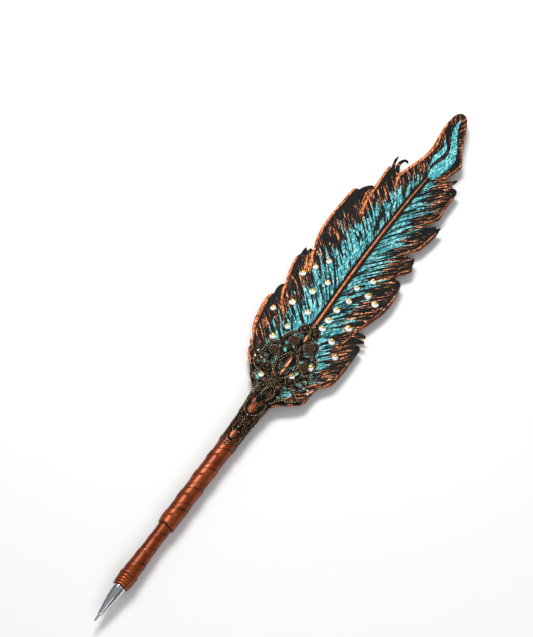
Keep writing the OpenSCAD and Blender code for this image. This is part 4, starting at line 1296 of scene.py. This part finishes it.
def standOn(shape, x, y, lift=0.0):
    # a small shape built about the origin, stood square on the curved face at (x, y)
    verts, faces = shape
    lean = np.arcsin(y / (camber + layer))
    turned = np.column_stack([verts[:, 0], verts[:, 1] * np.cos(lean) + verts[:, 2] * np.sin(lean),
                              verts[:, 2] * np.cos(lean) - verts[:, 1] * np.sin(lean)])
    return turned + onLeather([[x, y]], lift)[0], faces


def buildStuds():
    stud = {"radius": 1.85, "height": 1.15, "lift": 0.1}
    dome = domeShape(stud["radius"], stud["height"], 10, 36)
    domes = [standOn(dome, x, y, stud["lift"]) for x, y in studPlaces]
    castPiece("bronze_stud_domes", "stud", "bronze_studs", [], domes, [])


def buildDiscs():
    # a woven rosette: r(p) = R (0.57 + 0.37 cos(7 p / 3)) over three turns, passing over and under
    disc = {"radius": 2.1, "wire": 0.5}
    p = np.linspace(0, 6 * pi, 240, endpoint=False)
    r = disc["radius"] * (0.57 + 0.37 * np.cos(7 * p / 3))
    z = 0.55 + 0.2 * np.sin(14 * p / 3)
    knot = loopWire(np.column_stack([r * np.cos(p), r * np.sin(p), z]), disc["wire"])
    backs = [standOn(domeShape(disc["radius"] + 0.2, 0.35, 5, 32), x, y, 0.2) for x, y in discPlaces]
    knots = [standOn(knot, x, y, 0.1) for x, y in discPlaces]
    castPiece("woven_disc_knots", "rubbedAndLit", "woven_discs", backs, knots, [])


def buildFlowerCentre():
    # an eye of two rings on a low cup, raised on the petals; each ring is (radius, width, lift)
    eye = {"cup": 1.5, "cupHeight": 0.5, "rings": [(1.35, 0.4, 0.55), (0.75, 0.42, 0.85)]}
    cup = [standOn(domeShape(eye["cup"], eye["cupHeight"], 7, 32), *flowerPlace, 0.55)]
    rings = []
    for radius, width, lift in eye["rings"]:
        angle = np.arange(32) / 32 * 2 * pi
        ring = np.column_stack([radius * np.cos(angle), radius * np.sin(angle), np.full(32, lift)])
        rings.append(standOn(loopWire(ring, width), *flowerPlace, 0.4))
    castPiece("flower_eye", "rubbedAndLit", "flower_centre", cup, rings, [])


dotPlaces = [[157, 13.8], [165, 10.8], [170.4, 22.3], [176.6, 6.9], [178, 16.4], [188, 11.5],
             [194.8, 21.2], [196, 8], [201, 17.9], [207.2, 14.1], [172.6, -3.6], [178, -3.6],
             [185, -3.8], [192.4, -6], [200.8, -5.3], [208.3, -9.8], [200, -12], [198, -17],
             [179.6, -13.6], [169, -11], [163, -16.6]]


def buildDots():
    # enamel dots: a white drop with a smaller gold drop set off centre on it
    dots = {"radius": 1.55, "height": 0.62, "gold": 0.98, "goldHeight": 0.42, "shift": (0.62, 0.25)}
    hidden = [[136.5, 6.8], [142.8, -5.6], [151.6, -10.4]]
    white, gold = [], []
    for k, (x, y) in enumerate(dotPlaces + hidden):
        size = 1 + 0.09 * np.sin(5.3 * k)
        white.append(standOn(domeShape(dots["radius"] * size, dots["height"], wobble=0.035, seed=k), x, y,
                             0.05))
        gold.append(standOn(domeShape(dots["gold"] * size, dots["goldHeight"], 7, 20, 0.05, k * 1.7),
                            x + dots["shift"][0], y + dots["shift"][1], 0.5))
    flecks = [[144.5, 12], [143.8, 15], [147, 15.4], [141, -13.4], [141.2, -15.3], [139.6, -16.3]]
    for k, (x, y) in enumerate(flecks):
        white.append(standOn(domeShape(0.5, 0.25, 4, 14, 0.2, k), x, y))
    makePiece("white_dot_drops", joinParts(white), finish["white"], ["paint_dots_white"])
    makePiece("gold_dot_drops", joinParts(gold), finish["gold"], ["paint_dots_gold"])


buildSleeve()
buildSpray()
buildStuds()
buildDiscs()
buildFlowerCentre()
buildDots()
print("feather pen: filigree and dots made")


def dressNodes():
    # the CAD nodes that keep their own shape get a finish each
    worn = {"writing_ball": "carbide", "refill_point": "point", "refill_connector": "plastic",
            "refill_tube": "tube", "refill_ink": "ink", "refill_grease": "grease",
            "refill_tail_plug": "plastic", "thread_insert": "brass", "inner_barrel": "barrel",
            "barrel_end_plug": "barrel", "quill_wire": "wire"}
    for node, look in worn.items():
        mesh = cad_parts[node].data
        mesh.materials.clear()
        mesh.materials.append(finish[look])


dressNodes()
